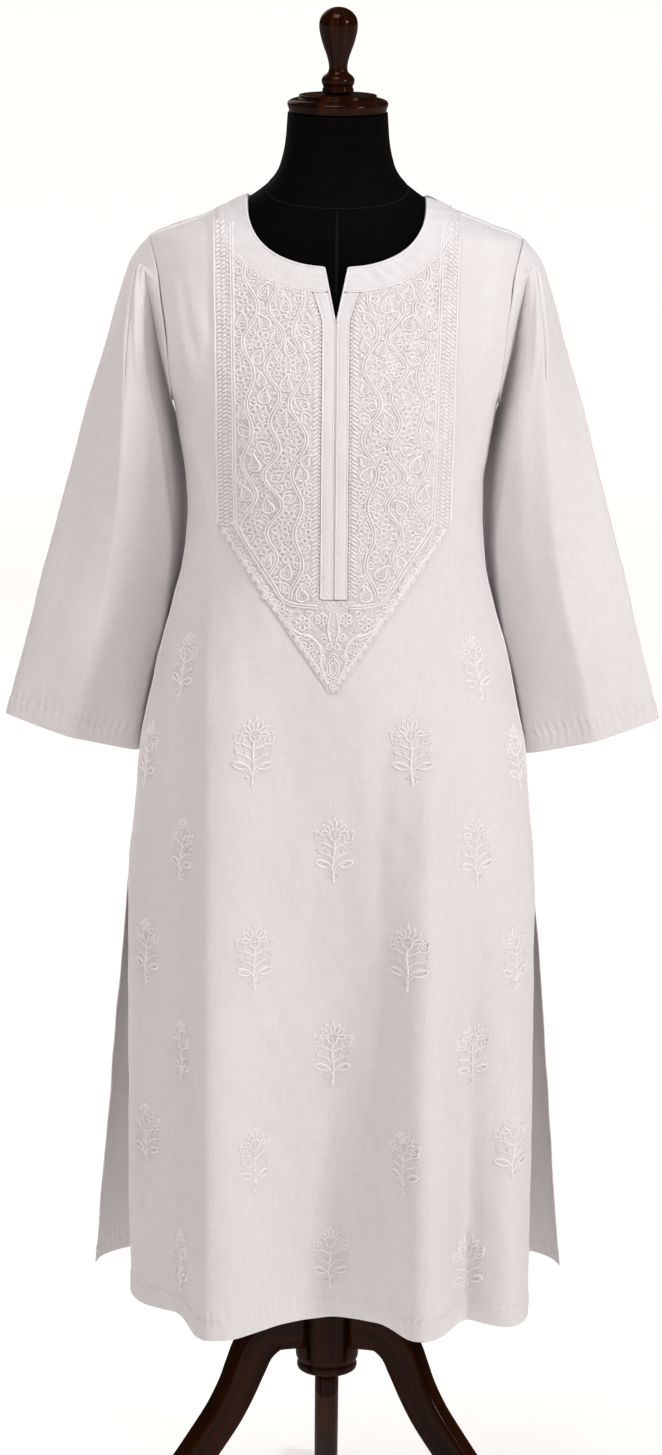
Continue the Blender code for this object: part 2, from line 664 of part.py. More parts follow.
def centred(collection):
    """Moves every piece so that the middle of the whole box stands on the origin."""
    bpy.context.view_layer.update()
    shaped = bpy.context.evaluated_depsgraph_get()
    corners = []
    for piece in collection.objects:
        whole = piece.evaluated_get(shaped)
        turned_to = whole.matrix_world
        corners += [turned_to @ vertex.co for vertex in whole.data.vertices]
    corners = np.array(corners)
    middle = (corners.min(axis=0) + corners.max(axis=0)) / 2
    for piece in collection.objects:
        piece.location.x -= middle[0]
        piece.location.y -= middle[1]


for old in list(bpy.data.objects):
    bpy.data.objects.remove(old)
COLLECTION = bpy.data.collections.new("kurta_on_dress_form")
bpy.context.scene.collection.children.link(COLLECTION)
MATERIALS = {name: make_material(name) for name in FINISHES}

front_panel()
back_panel()
neck_bands()
placket_strips()
yoke()
sleeve("sleeve_left", 1)
sleeve("sleeve_right", -1)
form_body()
turned("neck_cap", CAP_PROFILE, "dark_wood")
turned("finial", FINIAL_PROFILE, "dark_wood")
turned("hub", HUB_PROFILE, "dark_wood")
turned("hub_drop", DROP_PROFILE, "dark_wood")
pole()
for leg_name, leg_turn in LEG_TURNS.items():
    leg(leg_name, leg_turn)
centred(COLLECTION)
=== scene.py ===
# %% [markdown]
# # A white embroidered kurta on a dress form
#
# The kurta is a straight tunic of thin white cotton. It hangs on a limbless dress form with
# a black cover and a dark wooden stand. Its front is worked with white thread: a dense bib
# round the neck, and small flower sprays scattered over the skirt.
#
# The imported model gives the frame. Every fine piece below is worked out from the same named
# sizes as the solids, so each one lies where the solid that it stands for lies.

# %% Load the frame
import math

import bmesh
import bpy
import numpy as np
from mathutils import Matrix, Vector


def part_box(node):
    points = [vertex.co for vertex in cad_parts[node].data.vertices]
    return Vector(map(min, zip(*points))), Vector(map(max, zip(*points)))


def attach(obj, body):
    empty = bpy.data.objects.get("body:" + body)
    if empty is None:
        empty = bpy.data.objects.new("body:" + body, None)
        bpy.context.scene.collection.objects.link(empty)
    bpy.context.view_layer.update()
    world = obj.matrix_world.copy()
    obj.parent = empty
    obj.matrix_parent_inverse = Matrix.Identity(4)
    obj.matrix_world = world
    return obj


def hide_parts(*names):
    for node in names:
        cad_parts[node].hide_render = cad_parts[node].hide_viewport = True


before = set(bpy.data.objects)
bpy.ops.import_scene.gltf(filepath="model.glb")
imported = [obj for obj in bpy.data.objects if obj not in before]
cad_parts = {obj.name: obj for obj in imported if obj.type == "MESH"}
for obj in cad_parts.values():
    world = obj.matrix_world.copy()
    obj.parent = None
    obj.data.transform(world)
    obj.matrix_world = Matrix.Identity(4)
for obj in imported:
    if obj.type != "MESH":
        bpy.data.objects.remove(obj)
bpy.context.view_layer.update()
POLE_LOW, POLE_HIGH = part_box("pole")
AXIS_Y = (POLE_LOW[1] + POLE_HIGH[1]) / 2
SIDES = ((1, "left"), (-1, "right"))
print("nodes", len(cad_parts), "axis y", round(AXIS_Y, 4))

# %% [markdown]
# ## Camera, floor and light
#
# A photographer would stand about five and a half metres away with a long lens, with the
# camera half a metre above the neck and tipped down by 12 degrees. The picture leans by half
# a degree, so the camera is rolled by as much. The main lamp stands at the front right. One
# hangs overhead, one lights the shoulders from behind, and a weak warm one fills the left.
# The room is dim and warm. The floor glows more the farther it is from the middle, so the
# background stays white while little light comes up to the cloth from below.

# %% Camera
CAMERA_DISTANCE = 5.5
CAMERA_PITCH = math.radians(12.0)
CAMERA_ROLL = math.radians(0.5)
AIM = Vector((-0.0014, AXIS_Y, 0.883))
SENSOR = 36.0
LENS = 136.1


def make_camera():
    """Camera at AIM plus CAMERA_DISTANCE along the tipped line of sight, then rolled."""
    camera = bpy.data.objects.new("camera", bpy.data.cameras.new("camera"))
    bpy.context.scene.collection.objects.link(camera)
    away = Vector((0, -math.cos(CAMERA_PITCH), math.sin(CAMERA_PITCH)))
    look = (-away).to_track_quat("-Z", "Y").to_matrix()
    camera.matrix_world = (Matrix.Translation(AIM + CAMERA_DISTANCE * away)
                           @ (look @ Matrix.Rotation(CAMERA_ROLL, 3, "Z")).to_4x4())
    camera.data.sensor_width = SENSOR
    camera.data.lens = LENS
    bpy.context.scene.camera = camera
    return camera


camera = make_camera()
bpy.context.scene.view_settings.view_transform = "Standard"
print("camera at", [round(v, 3) for v in camera.location])

# %% Lamps: name, place, size, watts, colour
LAMPS = (
    ("key_lamp", (3.4, -2.4, 2.9), 0.9, 88.0, (0.965, 0.985, 1.0)),
    ("fill_lamp", (-3.0, -3.2, 1.3), 2.2, 4.0, (1.0, 0.76, 0.52)),
    ("top_lamp", (-0.4, -1.1, 3.9), 1.2, 52.0, (0.985, 0.99, 1.0)),
    ("rear_lamp", (-1.6, 3.6, 2.8), 2.2, 44.0, (1.0, 0.97, 0.95)),
)
ROOM_LIGHT = 0.14
ROOM_COLOUR = (1.0, 0.85, 0.74, 1.0)


def make_lamps():
    """Square area lamps, each turned to face the middle of the kurta."""
    for name, place, size, watts, colour in LAMPS:
        lamp = bpy.data.lights.new(name, "AREA")
        lamp.size = size
        lamp.energy = watts
        lamp.color = colour
        stand = bpy.data.objects.new(name, lamp)
        bpy.context.scene.collection.objects.link(stand)
        stand.location = place
        stand.rotation_euler = (AIM - Vector(place)).to_track_quat("-Z", "Y").to_euler()


def make_room():
    """Even warm light from all round."""
    room = bpy.data.worlds.new("room")
    room.use_nodes = True
    glow = room.node_tree.nodes["Background"]
    glow.inputs["Color"].default_value = ROOM_COLOUR
    glow.inputs["Strength"].default_value = ROOM_LIGHT
    bpy.context.scene.world = room


make_lamps()
make_room()
print("lamps", len(LAMPS))

# %% [markdown]
# ## Finishes
#
# Cotton this fine has no weave that can be counted from a step away, but its threads are
# uneven, so it shows short soft streaks both ways. The streaks are two stretched noises on a
# map in metres that follows the cloth. Along hems and slits the stitching draws the cloth
# into small puckers, so a second map says how far each point is from those edges.

# %% Node helpers
def add(tree, kind, inputs=None, **settings):
    """A node with its settings, and its inputs given as values or joined to sockets."""
    made = tree.nodes.new(kind)
    for name, value in settings.items():
        setattr(made, name, value)
    for name, value in (inputs or {}).items():
        if isinstance(value, bpy.types.NodeSocket):
            tree.links.new(value, made.inputs[name])
        else:
            made.inputs[name].default_value = value
    return made


def sums(tree, how, a, b):
    """Output of a Math node over two values or sockets."""
    return add(tree, "ShaderNodeMath", {0: a, 1: b}, operation=how).outputs[0]


def stretched_noise(tree, where, scale, detail=2.0):
    """Noise on a map whose axes are stretched by scale, as a value from 0 to 1."""
    placed = add(tree, "ShaderNodeMapping", {"Vector": where, "Scale": scale})
    noise = add(tree, "ShaderNodeTexNoise",
                {"Vector": placed.outputs[0], "Scale": 1.0, "Detail": detail})
    return noise.outputs["Fac"]


def mixed(tree, share, low, high):
    """Colour between low and high by a share from 0 to 1."""
    blend = add(tree, "ShaderNodeMix", data_type="RGBA")
    tree.links.new(share, blend.inputs[0])
    blend.inputs[6].default_value = (*low, 1)
    blend.inputs[7].default_value = (*high, 1)
    return blend.outputs[2]


def spread(tree, value, low, high):
    """Value brought from the range low to high into 0 to 1."""
    return add(tree, "ShaderNodeMapRange", {"Value": value, "From Min": low, "From Max": high}
               ).outputs[0]


def start_material(name, roughness):
    """New material with its tree and its shader."""
    material = bpy.data.materials.new(name)
    material.use_nodes = True
    shader = material.node_tree.nodes["Principled BSDF"]
    shader.inputs["Roughness"].default_value = roughness
    return material, material.node_tree, shader


def blended(tree, a, b, share):
    """The given share of a plus the rest of b."""
    return sums(tree, "ADD", sums(tree, "MULTIPLY", a, share),
                sums(tree, "MULTIPLY", b, 1 - share))


def coloured(tree, shader, value, span, low, high):
    """Base colour that runs from low to high while value runs over its span."""
    tree.links.new(mixed(tree, spread(tree, value, *span), low, high),
                   shader.inputs["Base Color"])


def embossed(tree, shader, height, depth, strength=1.0):
    """Bump from a height of 0 to 1, as deep as depth in metres."""
    bump = add(tree, "ShaderNodeBump",
               {"Height": height, "Distance": depth, "Strength": strength})
    tree.links.new(bump.outputs[0], shader.inputs["Normal"])


# %% Colours of the finishes: low in their dark streaks, high in their light ones; the bib's low colour is painted shade in the hollows of its quilting
COTTON_LOW = (0.690, 0.652, 0.656)
COTTON_HIGH = (0.768, 0.733, 0.741)
TRIM_LOW = (0.705, 0.672, 0.680)
TRIM_HIGH = (0.780, 0.750, 0.763)
BIB_PAINTED_HOLLOW_SHADE = (0.665, 0.628, 0.630)
# Thread is coloured lighter than the cotton it lies on: painted highlight.
PAINTED_HIGHLIGHT_THREAD_DARK = (0.835, 0.800, 0.803)
PAINTED_HIGHLIGHT_THREAD_LIGHT = (0.915, 0.885, 0.893)
COVER_LOW = (0.0015, 0.0014, 0.0012)
COVER_HIGH = (0.0036, 0.0033, 0.0028)
# The form's seams are coloured a little lighter than its cover: painted highlight on their ridges.
PAINTED_HIGHLIGHT_SEAM_DARK = (0.006, 0.006, 0.005)
PAINTED_HIGHLIGHT_SEAM_LIGHT = (0.010, 0.010, 0.009)
WOOD_LOW = (0.0032, 0.0008, 0.0002)
WOOD_HIGH = (0.040, 0.0100, 0.0024)
FLOOR_LOW = (0.90, 0.89, 0.88)
FLOOR_HIGH = (0.94, 0.93, 0.92)
FLOOR_GLOW = (1.0, 0.98, 0.955, 1.0)
print("cotton from", COTTON_LOW, "to", COTTON_HIGH)

# %% Cotton cloth
WEFT_STRETCH = (55.0, 620.0, 1.0)
WARP_STRETCH = (620.0, 38.0, 1.0)
MOTTLE_STRETCH = (14.0, 6.0, 1.0)
STREAK_SHARE = 0.65
STREAK_DEPTH = 0.00022
COTTON_SHEEN = 0.12
HEM_WIDTH = 0.020
SLIT_HEM_WIDTH = 0.0085
PUCKER_PITCH = 0.0085
PUCKER_DRIFT = 9.0
PUCKER_GAIN = 1.6
HEM_PUCKER_REACH = 0.016
SLIT_PUCKER_REACH = 0.009
QUILT_CELLS = 265.0
QUILT_DEPTH = 0.0011


def band_mask(tree, value, middle, reach):
    """1 where value is at middle, falling to 0 at reach on both sides of it."""
    away = sums(tree, "ABSOLUTE", sums(tree, "SUBTRACT", value, middle), 0.0)
    return sums(tree, "MAXIMUM", sums(tree, "SUBTRACT", 1.0,
                                      sums(tree, "DIVIDE", away, reach)), 0.0)


def puckers(tree, along, drift, from_edge, width, reach):
    """Sine wave along an edge, strongest at the stitch line that lies width from it."""
    wave = sums(tree, "MULTIPLY", along, 2 * math.pi / PUCKER_PITCH)
    wave = sums(tree, "SINE", sums(tree, "ADD", wave, drift), 0.0)
    return sums(tree, "MULTIPLY", wave, band_mask(tree, from_edge, width, reach))


def cotton(name, low, high):
    """Thin cotton: streaks both ways, a soft mottle, and puckers beside hems and slits."""
    material, tree, shader = start_material(name, 0.88)
    weave = add(tree, "ShaderNodeUVMap", uv_map="weave").outputs[0]
    edges = add(tree, "ShaderNodeUVMap", uv_map="edges").outputs[0]
    weft = stretched_noise(tree, weave, WEFT_STRETCH)
    warp = stretched_noise(tree, weave, WARP_STRETCH)
    streaks = sums(tree, "MULTIPLY", sums(tree, "ADD", weft, warp), 0.5)
    mottle = stretched_noise(tree, weave, MOTTLE_STRETCH, 3.0)
    tone = blended(tree, streaks, mottle, STREAK_SHARE)
    coloured(tree, shader, tone, (0.36, 0.64), low, high)
    from_edge = add(tree, "ShaderNodeSeparateXYZ", {"Vector": edges}).outputs
    place = add(tree, "ShaderNodeSeparateXYZ", {"Vector": weave}).outputs
    drift = sums(tree, "MULTIPLY", stretched_noise(tree, weave, (40.0, 40.0, 1.0), 1.0),
                 PUCKER_DRIFT)
    hem = puckers(tree, place["X"], drift, from_edge["X"], HEM_WIDTH, HEM_PUCKER_REACH)
    slit = puckers(tree, place["Y"], drift, from_edge["Y"], SLIT_HEM_WIDTH, SLIT_PUCKER_REACH)
    drawn_in = sums(tree, "MULTIPLY", sums(tree, "ADD", hem, slit), PUCKER_GAIN)
    embossed(tree, shader, sums(tree, "ADD", streaks, drawn_in), STREAK_DEPTH)
    shader.inputs["Sheen Weight"].default_value = COTTON_SHEEN
    shader.inputs["Sheen Roughness"].default_value = 0.5
    return material


def bib_cotton(name, low, high):
    """Ground of the bib: cloth that dense small stitches quilt into bumps 3 to 4 mm wide. Its
    colour is darker where the bumps are low: painted shade in their hollows.
    """
    material, tree, shader = start_material(name, 0.85)
    weave = add(tree, "ShaderNodeUVMap", uv_map="weave").outputs[0]
    grain = stretched_noise(tree, weave, (330.0, 290.0, 1.0), 2.0)
    cells = add(tree, "ShaderNodeTexVoronoi", {"Vector": weave, "Scale": QUILT_CELLS})
    bumps = sums(tree, "SUBTRACT", sums(tree, "MULTIPLY", grain, 1.3), cells.outputs["Distance"])
    # Colour follows the quilt's height, darker in its hollows: painted shade.
    coloured(tree, shader, bumps, (-0.2, 0.7), low, high)
    embossed(tree, shader, bumps, QUILT_DEPTH)
    shader.inputs["Sheen Weight"].default_value = COTTON_SHEEN
    return material


# %% Thread, form cover and wood
THREAD_SHEEN = 0.2
COVER_GLOSS = 0.02
VARNISH = 0.14
VARNISH_ROUGHNESS = 0.12


def thread_finish():
    """Soft white embroidery thread: plied grain on the object's own coordinates. Its colour is
    lighter than the cotton it lies on: painted highlight.
    """
    material, tree, shader = start_material("thread_white_painted_highlight", 0.7)
    where = add(tree, "ShaderNodeTexCoord").outputs["Object"]
    grain = stretched_noise(tree, where, (900.0, 900.0, 900.0), 1.0)
    coloured(tree, shader, grain, (0.3, 0.7), PAINTED_HIGHLIGHT_THREAD_DARK, PAINTED_HIGHLIGHT_THREAD_LIGHT)
    embossed(tree, shader, grain, 0.0002, 0.8)
    shader.inputs["Sheen Weight"].default_value = THREAD_SHEEN
    return material


def cover_finish(name, low, high):
    """Black jersey of the dress form: a fine knit grain, almost without gloss."""
    material, tree, shader = start_material(name, 0.82)
    where = add(tree, "ShaderNodeTexCoord").outputs["Object"]
    knit = stretched_noise(tree, where, (1100.0, 1100.0, 420.0), 1.0)
    cloud = stretched_noise(tree, where, (9.0, 9.0, 9.0), 3.0)
    coloured(tree, shader, blended(tree, knit, cloud, 0.5), (0.35, 0.65), low, high)
    embossed(tree, shader, knit, 0.0002, 0.7)
    shader.inputs["Specular IOR Level"].default_value = COVER_GLOSS
    return material


def wood_finish():
    """Dark stained wood under varnish: grain lines along the piece's own map. Only the
    varnish shines, so the wood under it has no gloss of its own."""
    material, tree, shader = start_material("dark_varnished_wood", 0.26)
    grain_map = add(tree, "ShaderNodeUVMap", uv_map="grain").outputs[0]
    lines = stretched_noise(tree, grain_map, (190.0, 7.0, 1.0), 4.0)
    cloud = stretched_noise(tree, grain_map, (22.0, 5.0, 1.0), 2.0)
    coloured(tree, shader, blended(tree, lines, cloud, 0.6), (0.34, 0.68), WOOD_LOW, WOOD_HIGH)
    tree.links.new(add(tree, "ShaderNodeMapRange",
                       {"Value": lines, "To Min": 0.20, "To Max": 0.36}).outputs[0],
                   shader.inputs["Roughness"])
    embossed(tree, shader, lines, 0.00012, 0.5)
    shader.inputs["Specular IOR Level"].default_value = 0.0
    shader.inputs["Coat Weight"].default_value = VARNISH
    shader.inputs["Coat Roughness"].default_value = VARNISH_ROUGHNESS
    return material


# %% Floor finish
# Distance from the middle and strength of the glow, near and far
GLOW_NEAR = (1.5, 0.54)
GLOW_FAR = (7.0, 0.92)


def floor_finish():
    """Pale studio floor with a faint mottle, and a glow that grows away from the middle."""
    material, tree, shader = start_material("studio_floor", 0.9)
    where = add(tree, "ShaderNodeTexCoord").outputs["Object"]
    cloud = stretched_noise(tree, where, (0.6, 0.6, 0.6), 3.0)
    tree.links.new(mixed(tree, cloud, FLOOR_LOW, FLOOR_HIGH), shader.inputs["Base Color"])
    shader.inputs["Emission Color"].default_value = FLOOR_GLOW
    away = add(tree, "ShaderNodeVectorMath", {"Vector": where}, operation="LENGTH")
    glow = add(tree, "ShaderNodeMapRange",
               {"Value": away.outputs["Value"], "From Min": GLOW_NEAR[0], "To Min": GLOW_NEAR[1],
                "From Max": GLOW_FAR[0], "To Max": GLOW_FAR[1]})
    tree.links.new(glow.outputs[0], shader.inputs["Emission Strength"])
    return material


# %% All finishes, and the slot that each one fills
FINISHES = {
    "cotton": cotton("white_cotton", COTTON_LOW, COTTON_HIGH),
    "trim": cotton("white_trim_cotton", TRIM_LOW, TRIM_HIGH),
    "bib": bib_cotton("quilted_bib_cloth_painted_shade", BIB_PAINTED_HOLLOW_SHADE, TRIM_HIGH),
    "thread": thread_finish(),
    "cover": cover_finish("black_jersey", COVER_LOW, COVER_HIGH),
    "seam_finish_painted_highlight": cover_finish("form_seam_painted_highlight", PAINTED_HIGHLIGHT_SEAM_DARK, PAINTED_HIGHLIGHT_SEAM_LIGHT),
    "wood": wood_finish(),
}
print("finishes", sorted(FINISHES))

# %% [markdown]
# ## Grids, pieces and smooth curves
#
# Almost every piece is a surface of two parameters: its points are one array of rows and
# columns, and its faces join neighbours in that array. One helper turns such an array into a
# mesh, another places it on the frame and gives it its finish. A third reads a smooth curve
# through the rows of a table, without overshoot.

# %% Grid to mesh
def joined(index):
    """Four corners of every face between neighbouring rows and columns of an index grid."""
    return np.stack([index[:-1, :-1], index[1:, :-1], index[1:, 1:], index[:-1, 1:]],
                    axis=-1).reshape(-1, 4)


def grid_mesh(name, grids, maps=None, closed=False, capped=False):
    """Mesh of one or more grids of points, with their maps in metres. Rows of a closed grid
    run all round, and its maps have one column more. Points that coincide are merged."""
    points = []
    faces = []
    corners = []
    count = map_count = 0
    for grid in grids:
        rows, columns = grid.shape[:2]
        index = np.arange(rows * columns).reshape(rows, columns)
        if closed:
            index = np.concatenate([index, index[:, :1]], axis=1)
        flat = np.arange(index.size).reshape(index.shape)
        points.append(grid.reshape(-1, 3))
        faces.append(joined(index) + count)
        corners.append(joined(flat) + map_count)
        count += rows * columns
        map_count += index.size
    mesh = bpy.data.meshes.new(name)
    mesh.from_pydata(np.concatenate(points).tolist(), [], np.concatenate(faces).tolist())
    corners = np.concatenate(corners).ravel()
    for label in maps or {}:
        values = np.concatenate([np.asarray(part).reshape(-1, 2) for part in maps[label]])
        layer = mesh.uv_layers.new(name=label)
        layer.data.foreach_set("uv", values[corners].ravel())
    work = bmesh.new()
    work.from_mesh(mesh)
    bmesh.ops.remove_doubles(work, verts=work.verts, dist=1e-6)
    if capped:
        ends = [edge for edge in work.edges if edge.is_boundary]
        bmesh.ops.holes_fill(work, edges=ends, sides=0)
        bmesh.ops.recalc_face_normals(work, faces=work.faces)
    work.to_mesh(mesh)
    work.free()
    return mesh


PIECES = {}


def piece(mesh, finish, stands_for=(), wall=0.0):
    """Object on the root body with its finish, its slot and, for cloth, an inward wall."""
    thing = bpy.data.objects.new(mesh.name, mesh)
    bpy.context.scene.collection.objects.link(thing)
    mesh.materials.clear()
    mesh.materials.append(FINISHES[finish])
    mesh.shade_smooth()
    if wall:
        solid = thing.modifiers.new("wall", "SOLIDIFY")
        solid.thickness = wall
        solid.offset = -1.0
        solid.use_rim = True
    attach(thing, "root")
    if stands_for:
        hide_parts(*stands_for)
    PIECES[mesh.name] = thing


# %% Smooth curve through a table
def smooth(at, xs, ys):
    """Monotone cubic through ys at xs: each slope is the harmonic mean of its neighbours'
    rises, or 0 at a turning point. ys may hold one value or a whole row for each x."""
    xs, ys = np.asarray(xs, float), np.asarray(ys, float)
    step = np.diff(xs)
    wide = ys.ndim > 1
    width = step[:, None] if wide else step
    rise = np.diff(ys, axis=0) / width
    product = rise[:-1] * rise[1:]
    total = np.where(product > 0, rise[:-1] + rise[1:], 1.0)
    slope = np.concatenate([rise[:1], np.where(product > 0, 2 * product / total, 0.0),
                            rise[-1:]])
    at = np.clip(at, xs[0], xs[-1])
    k = np.clip(np.searchsorted(xs, at) - 1, 0, len(xs) - 2)
    t = (at - xs[k]) / step[k]
    t = t[:, None] if wide else t
    return ((1 + 2 * t) * (1 - t) ** 2 * ys[k] + t * (1 - t) ** 2 * width[k] * slope[k]
            + t * t * (3 - 2 * t) * ys[k + 1] + t * t * (t - 1) * width[k] * slope[k + 1])


def column(at, table, number):
    """Smooth curve through one column of a table whose first column rises."""
    rows = np.asarray(table, float)
    return smooth(at, rows[:, 0], rows[:, number])


def between(inner, outer, shares):
    """Rows of values from an inner edge to an outer edge, one column for each share."""
    return inner[:, None] + (outer - inner)[:, None] * shares[None, :]


def cut_corners(line, times):
    """Chaikin's cut, with both ends kept: each corner becomes two points, a quarter in."""
    line = np.asarray(line, float)
    for _ in range(times):
        near = 0.75 * line[:-1] + 0.25 * line[1:]
        far = 0.25 * line[:-1] + 0.75 * line[1:]
        line = np.concatenate([line[:1], np.stack([near, far], axis=1).reshape(-1, 2), line[-1:]])
    return line


def lengths(points, axis=0):
    """Distance run along a grid's rows (axis 0) or columns (axis 1), from 0."""
    gaps = np.linalg.norm(np.diff(points, axis=axis), axis=-1)
    start = np.zeros_like(np.take(gaps, [0], axis=axis))
    return np.concatenate([start, np.cumsum(gaps, axis=axis)], axis=axis)


def run_of(line):
    """Distance run along a flat line of points, from 0."""
    return np.concatenate([[0], np.cumsum(np.hypot(*np.diff(line, axis=0).T))])


def read_line(line, run, at):
    """Points of a flat line at given distances along it."""
    return np.stack([np.interp(at, run, line[:, 0]), np.interp(at, run, line[:, 1])], -1)


def line_of(x, z):
    """Flat line through all x and z, where one of them may be a single value."""
    return np.stack(np.broadcast_arrays(x, z), -1)


def cloth_area(grids):
    """Area of grids of points: half the length of each face's crossed diagonals, summed."""
    total = 0.0
    for grid in grids:
        one = grid[1:, 1:] - grid[:-1, :-1]
        other = grid[1:, :-1] - grid[:-1, 1:]
        total += 0.5 * np.linalg.norm(np.cross(one, other), axis=-1).sum()
    return float(total)


# %% [markdown]
# ## The kurta's body as two surfaces
#
# A tunic hangs as a stack of level sections. A table gives each section's half width, front
# depth and back depth, and a section is a squared-off oval. A point is named by its turn (0
# at centre front or back, 90 degrees at the side) and its height. Below the slits the back
# panel hangs by itself. Folds are cosine bumps that start at some height and grow to the hem.

# %% Sizes of the body, in metres
NECK_POINT_Z = 1.4145
SHOULDER_TIP_Z = 1.3750
UNDERARM_Z = 1.2150
SLIT_TOP_Z = 0.7270
HEM_Z = 0.3000
LEVEL_ROWS_Z = 1.2000
SQUARENESS = 2.2
SHOULDER_EASE = 1.8
CLOTH_WALL = 0.0013
FOLD_GROWTH = 1.1

# Height, half width, front depth, back depth
KURTA_LEVELS = (
    (0.300, 0.2000, 0.1250, 0.1700), (0.500, 0.2020, 0.1310, 0.1560),
    (0.727, 0.2035, 0.1360, 0.1400), (0.809, 0.1965, 0.1360, 0.1340),
    (0.865, 0.1920, 0.1350, 0.1300), (0.911, 0.1835, 0.1340, 0.1260),
    (0.962, 0.1726, 0.1320, 0.1190), (1.007, 0.1600, 0.1300, 0.1110),
    (1.052, 0.1497, 0.1290, 0.1040), (1.106, 0.1453, 0.1300, 0.1000),
    (1.135, 0.1463, 0.1315, 0.1020), (1.174, 0.1523, 0.1320, 0.1080),
    (1.215, 0.1600, 0.1280, 0.1120), (1.245, 0.1730, 0.1200, 0.1130),
    (1.280, 0.1860, 0.1080, 0.1110), (1.320, 0.1910, 0.0940, 0.1050),
    (1.355, 0.1900, 0.0830, 0.0950), (1.375, 0.1826, 0.0770, 0.0850),
    (1.395, 0.1342, 0.0690, 0.0720), (1.4145, 0.0870, 0.0620, 0.0580),
)
# Height, half width and how far back the side edges of the back panel hang
BACK_HANG = ((0.300, 0.2395, 0.0725), (0.480, 0.2247, 0.0480),
             (0.588, 0.2158, 0.0270), (0.727, 0.2035, 0.0000))
# Height of the armhole seam and its distance from the middle
ARMHOLE = ((1.215, 0.1600), (1.234, 0.1620), (1.266, 0.1645), (1.294, 0.1675),
           (1.318, 0.1710), (1.345, 0.1745), (1.375, 0.1826))
# x where a fold starts, x at the hem, start height, depth at the hem, reach each way
FRONT_FOLDS = (
    (-0.1180, -0.1165, 1.085, 0.066, 0.036, 0.080),
    (0.0000, 0.0050, 0.950, -0.026, 0.070, 0.060),
    (0.0900, 0.0943, 0.960, 0.060, 0.046, 0.050),
    (0.2000, 0.2000, 0.800, 0.079, 0.075, 0.060),
    (-0.2000, -0.2000, 0.800, 0.012, 0.060, 0.050),
)
BACK_FOLDS = (
    (-0.1150, -0.1350, 1.000, 0.040, 0.055, 0.060),
    (-0.0200, -0.0300, 0.980, -0.022, 0.060, 0.055),
    (0.0500, 0.0450, 0.960, 0.036, 0.050, 0.060),
    (0.1300, 0.1500, 1.000, 0.034, 0.055, 0.050),
)
print("length", round(NECK_POINT_Z - HEM_Z, 3), "slits", round(SLIT_TOP_Z - HEM_Z, 3), "metres")


# %% Front and back surfaces
def roundness(turn):
    """Depth share of a section: (1 - |sin turn|^n)^(1/n), 1 in the middle, 0 at the side."""
    share = np.clip(np.abs(np.sin(turn)), 0.0, 1.0)
    return (1 - share ** SQUARENESS) ** (1 / SQUARENESS)


def fold_depth(x, z, folds):
    """Sum of folds: hem depth times growth^1.1 times cos^2 of the distance from its line."""
    depth = np.zeros(np.broadcast(x, z).shape)
    for start_x, hem_x, start_z, hem_depth, reach_low, reach_high in folds:
        grown = np.clip((start_z - z) / (start_z - HEM_Z), 0.0, 1.0)
        away = x - (start_x + (hem_x - start_x) * grown)
        away = away / np.where(away < 0, reach_low, reach_high)
        bump = np.cos(np.clip(away, -1, 1) * math.pi / 2) ** 2
        depth = depth + hem_depth * grown ** FOLD_GROWTH * bump
    return depth


def front_half(z):
    """Half width of the front at a height."""
    return column(z, KURTA_LEVELS, 1)


def back_half(z):
    """Half width of the back, which spreads below the slits."""
    return np.where(z < SLIT_TOP_Z, column(z, BACK_HANG, 1), front_half(z))


def front_points(turn, z):
    """x = half sin(turn), y = -(front depth times roundness + folds), z."""
    x = front_half(z) * np.sin(turn)
    y = -column(z, KURTA_LEVELS, 2) * roundness(turn) - fold_depth(x, z, FRONT_FOLDS)
    return np.stack([x, AXIS_Y + y, z + 0 * x], axis=-1)


def back_points(turn, z):
    """As the front, but its edges hang further back below the slits."""
    x = back_half(z) * np.sin(turn)
    edge = np.where(z < SLIT_TOP_Z, column(z, BACK_HANG, 2), 0.0)
    y = edge + (column(z, KURTA_LEVELS, 3) - edge) * roundness(turn)
    return np.stack([x, AXIS_Y + y + fold_depth(x, z, BACK_FOLDS), z + 0 * x], axis=-1)


chest_turns = np.linspace(-math.pi / 2, math.pi / 2, 181)
chest_line = front_points(chest_turns, np.full(181, UNDERARM_Z))
print("front of the chest", round(float(lengths(chest_line)[-1]), 3), "metres")


# %% Creases and ripples that lie on the two surfaces
# Start x and z, end x and z, half width, height: soft drag lines of the worn cloth
FRONT_CREASES = (
    (-0.158, 1.345, -0.136, 1.225, 0.0065, 0.0026),
    (-0.146, 1.352, -0.126, 1.250, 0.0050, 0.0018),
    (-0.135, 1.340, -0.124, 1.270, 0.0050, 0.0014),
    (0.158, 1.345, 0.140, 1.235, 0.0065, 0.0022),
    (0.146, 1.350, 0.129, 1.255, 0.0050, 0.0016),
    (-0.138, 1.190, -0.118, 1.080, 0.0060, 0.0022),
    (-0.128, 1.165, -0.116, 1.100, 0.0045, 0.0014),
    (0.140, 1.190, 0.122, 1.085, 0.0060, 0.0022),
    (0.128, 1.160, 0.117, 1.095, 0.0045, 0.0014),
    (0.118, 1.100, 0.124, 0.960, 0.0070, 0.0016),
    (0.1085, 0.940, 0.1110, 0.330, 0.0035, 0.0010),
    (-0.090, 1.020, -0.094, 0.820, 0.0080, 0.0010),
    (-0.045, 0.930, -0.050, 0.700, 0.0090, 0.0009),
    (0.030, 0.940, 0.028, 0.740, 0.0080, 0.0009),
    (0.064, 0.930, 0.060, 0.700, 0.0070, 0.0010),
)
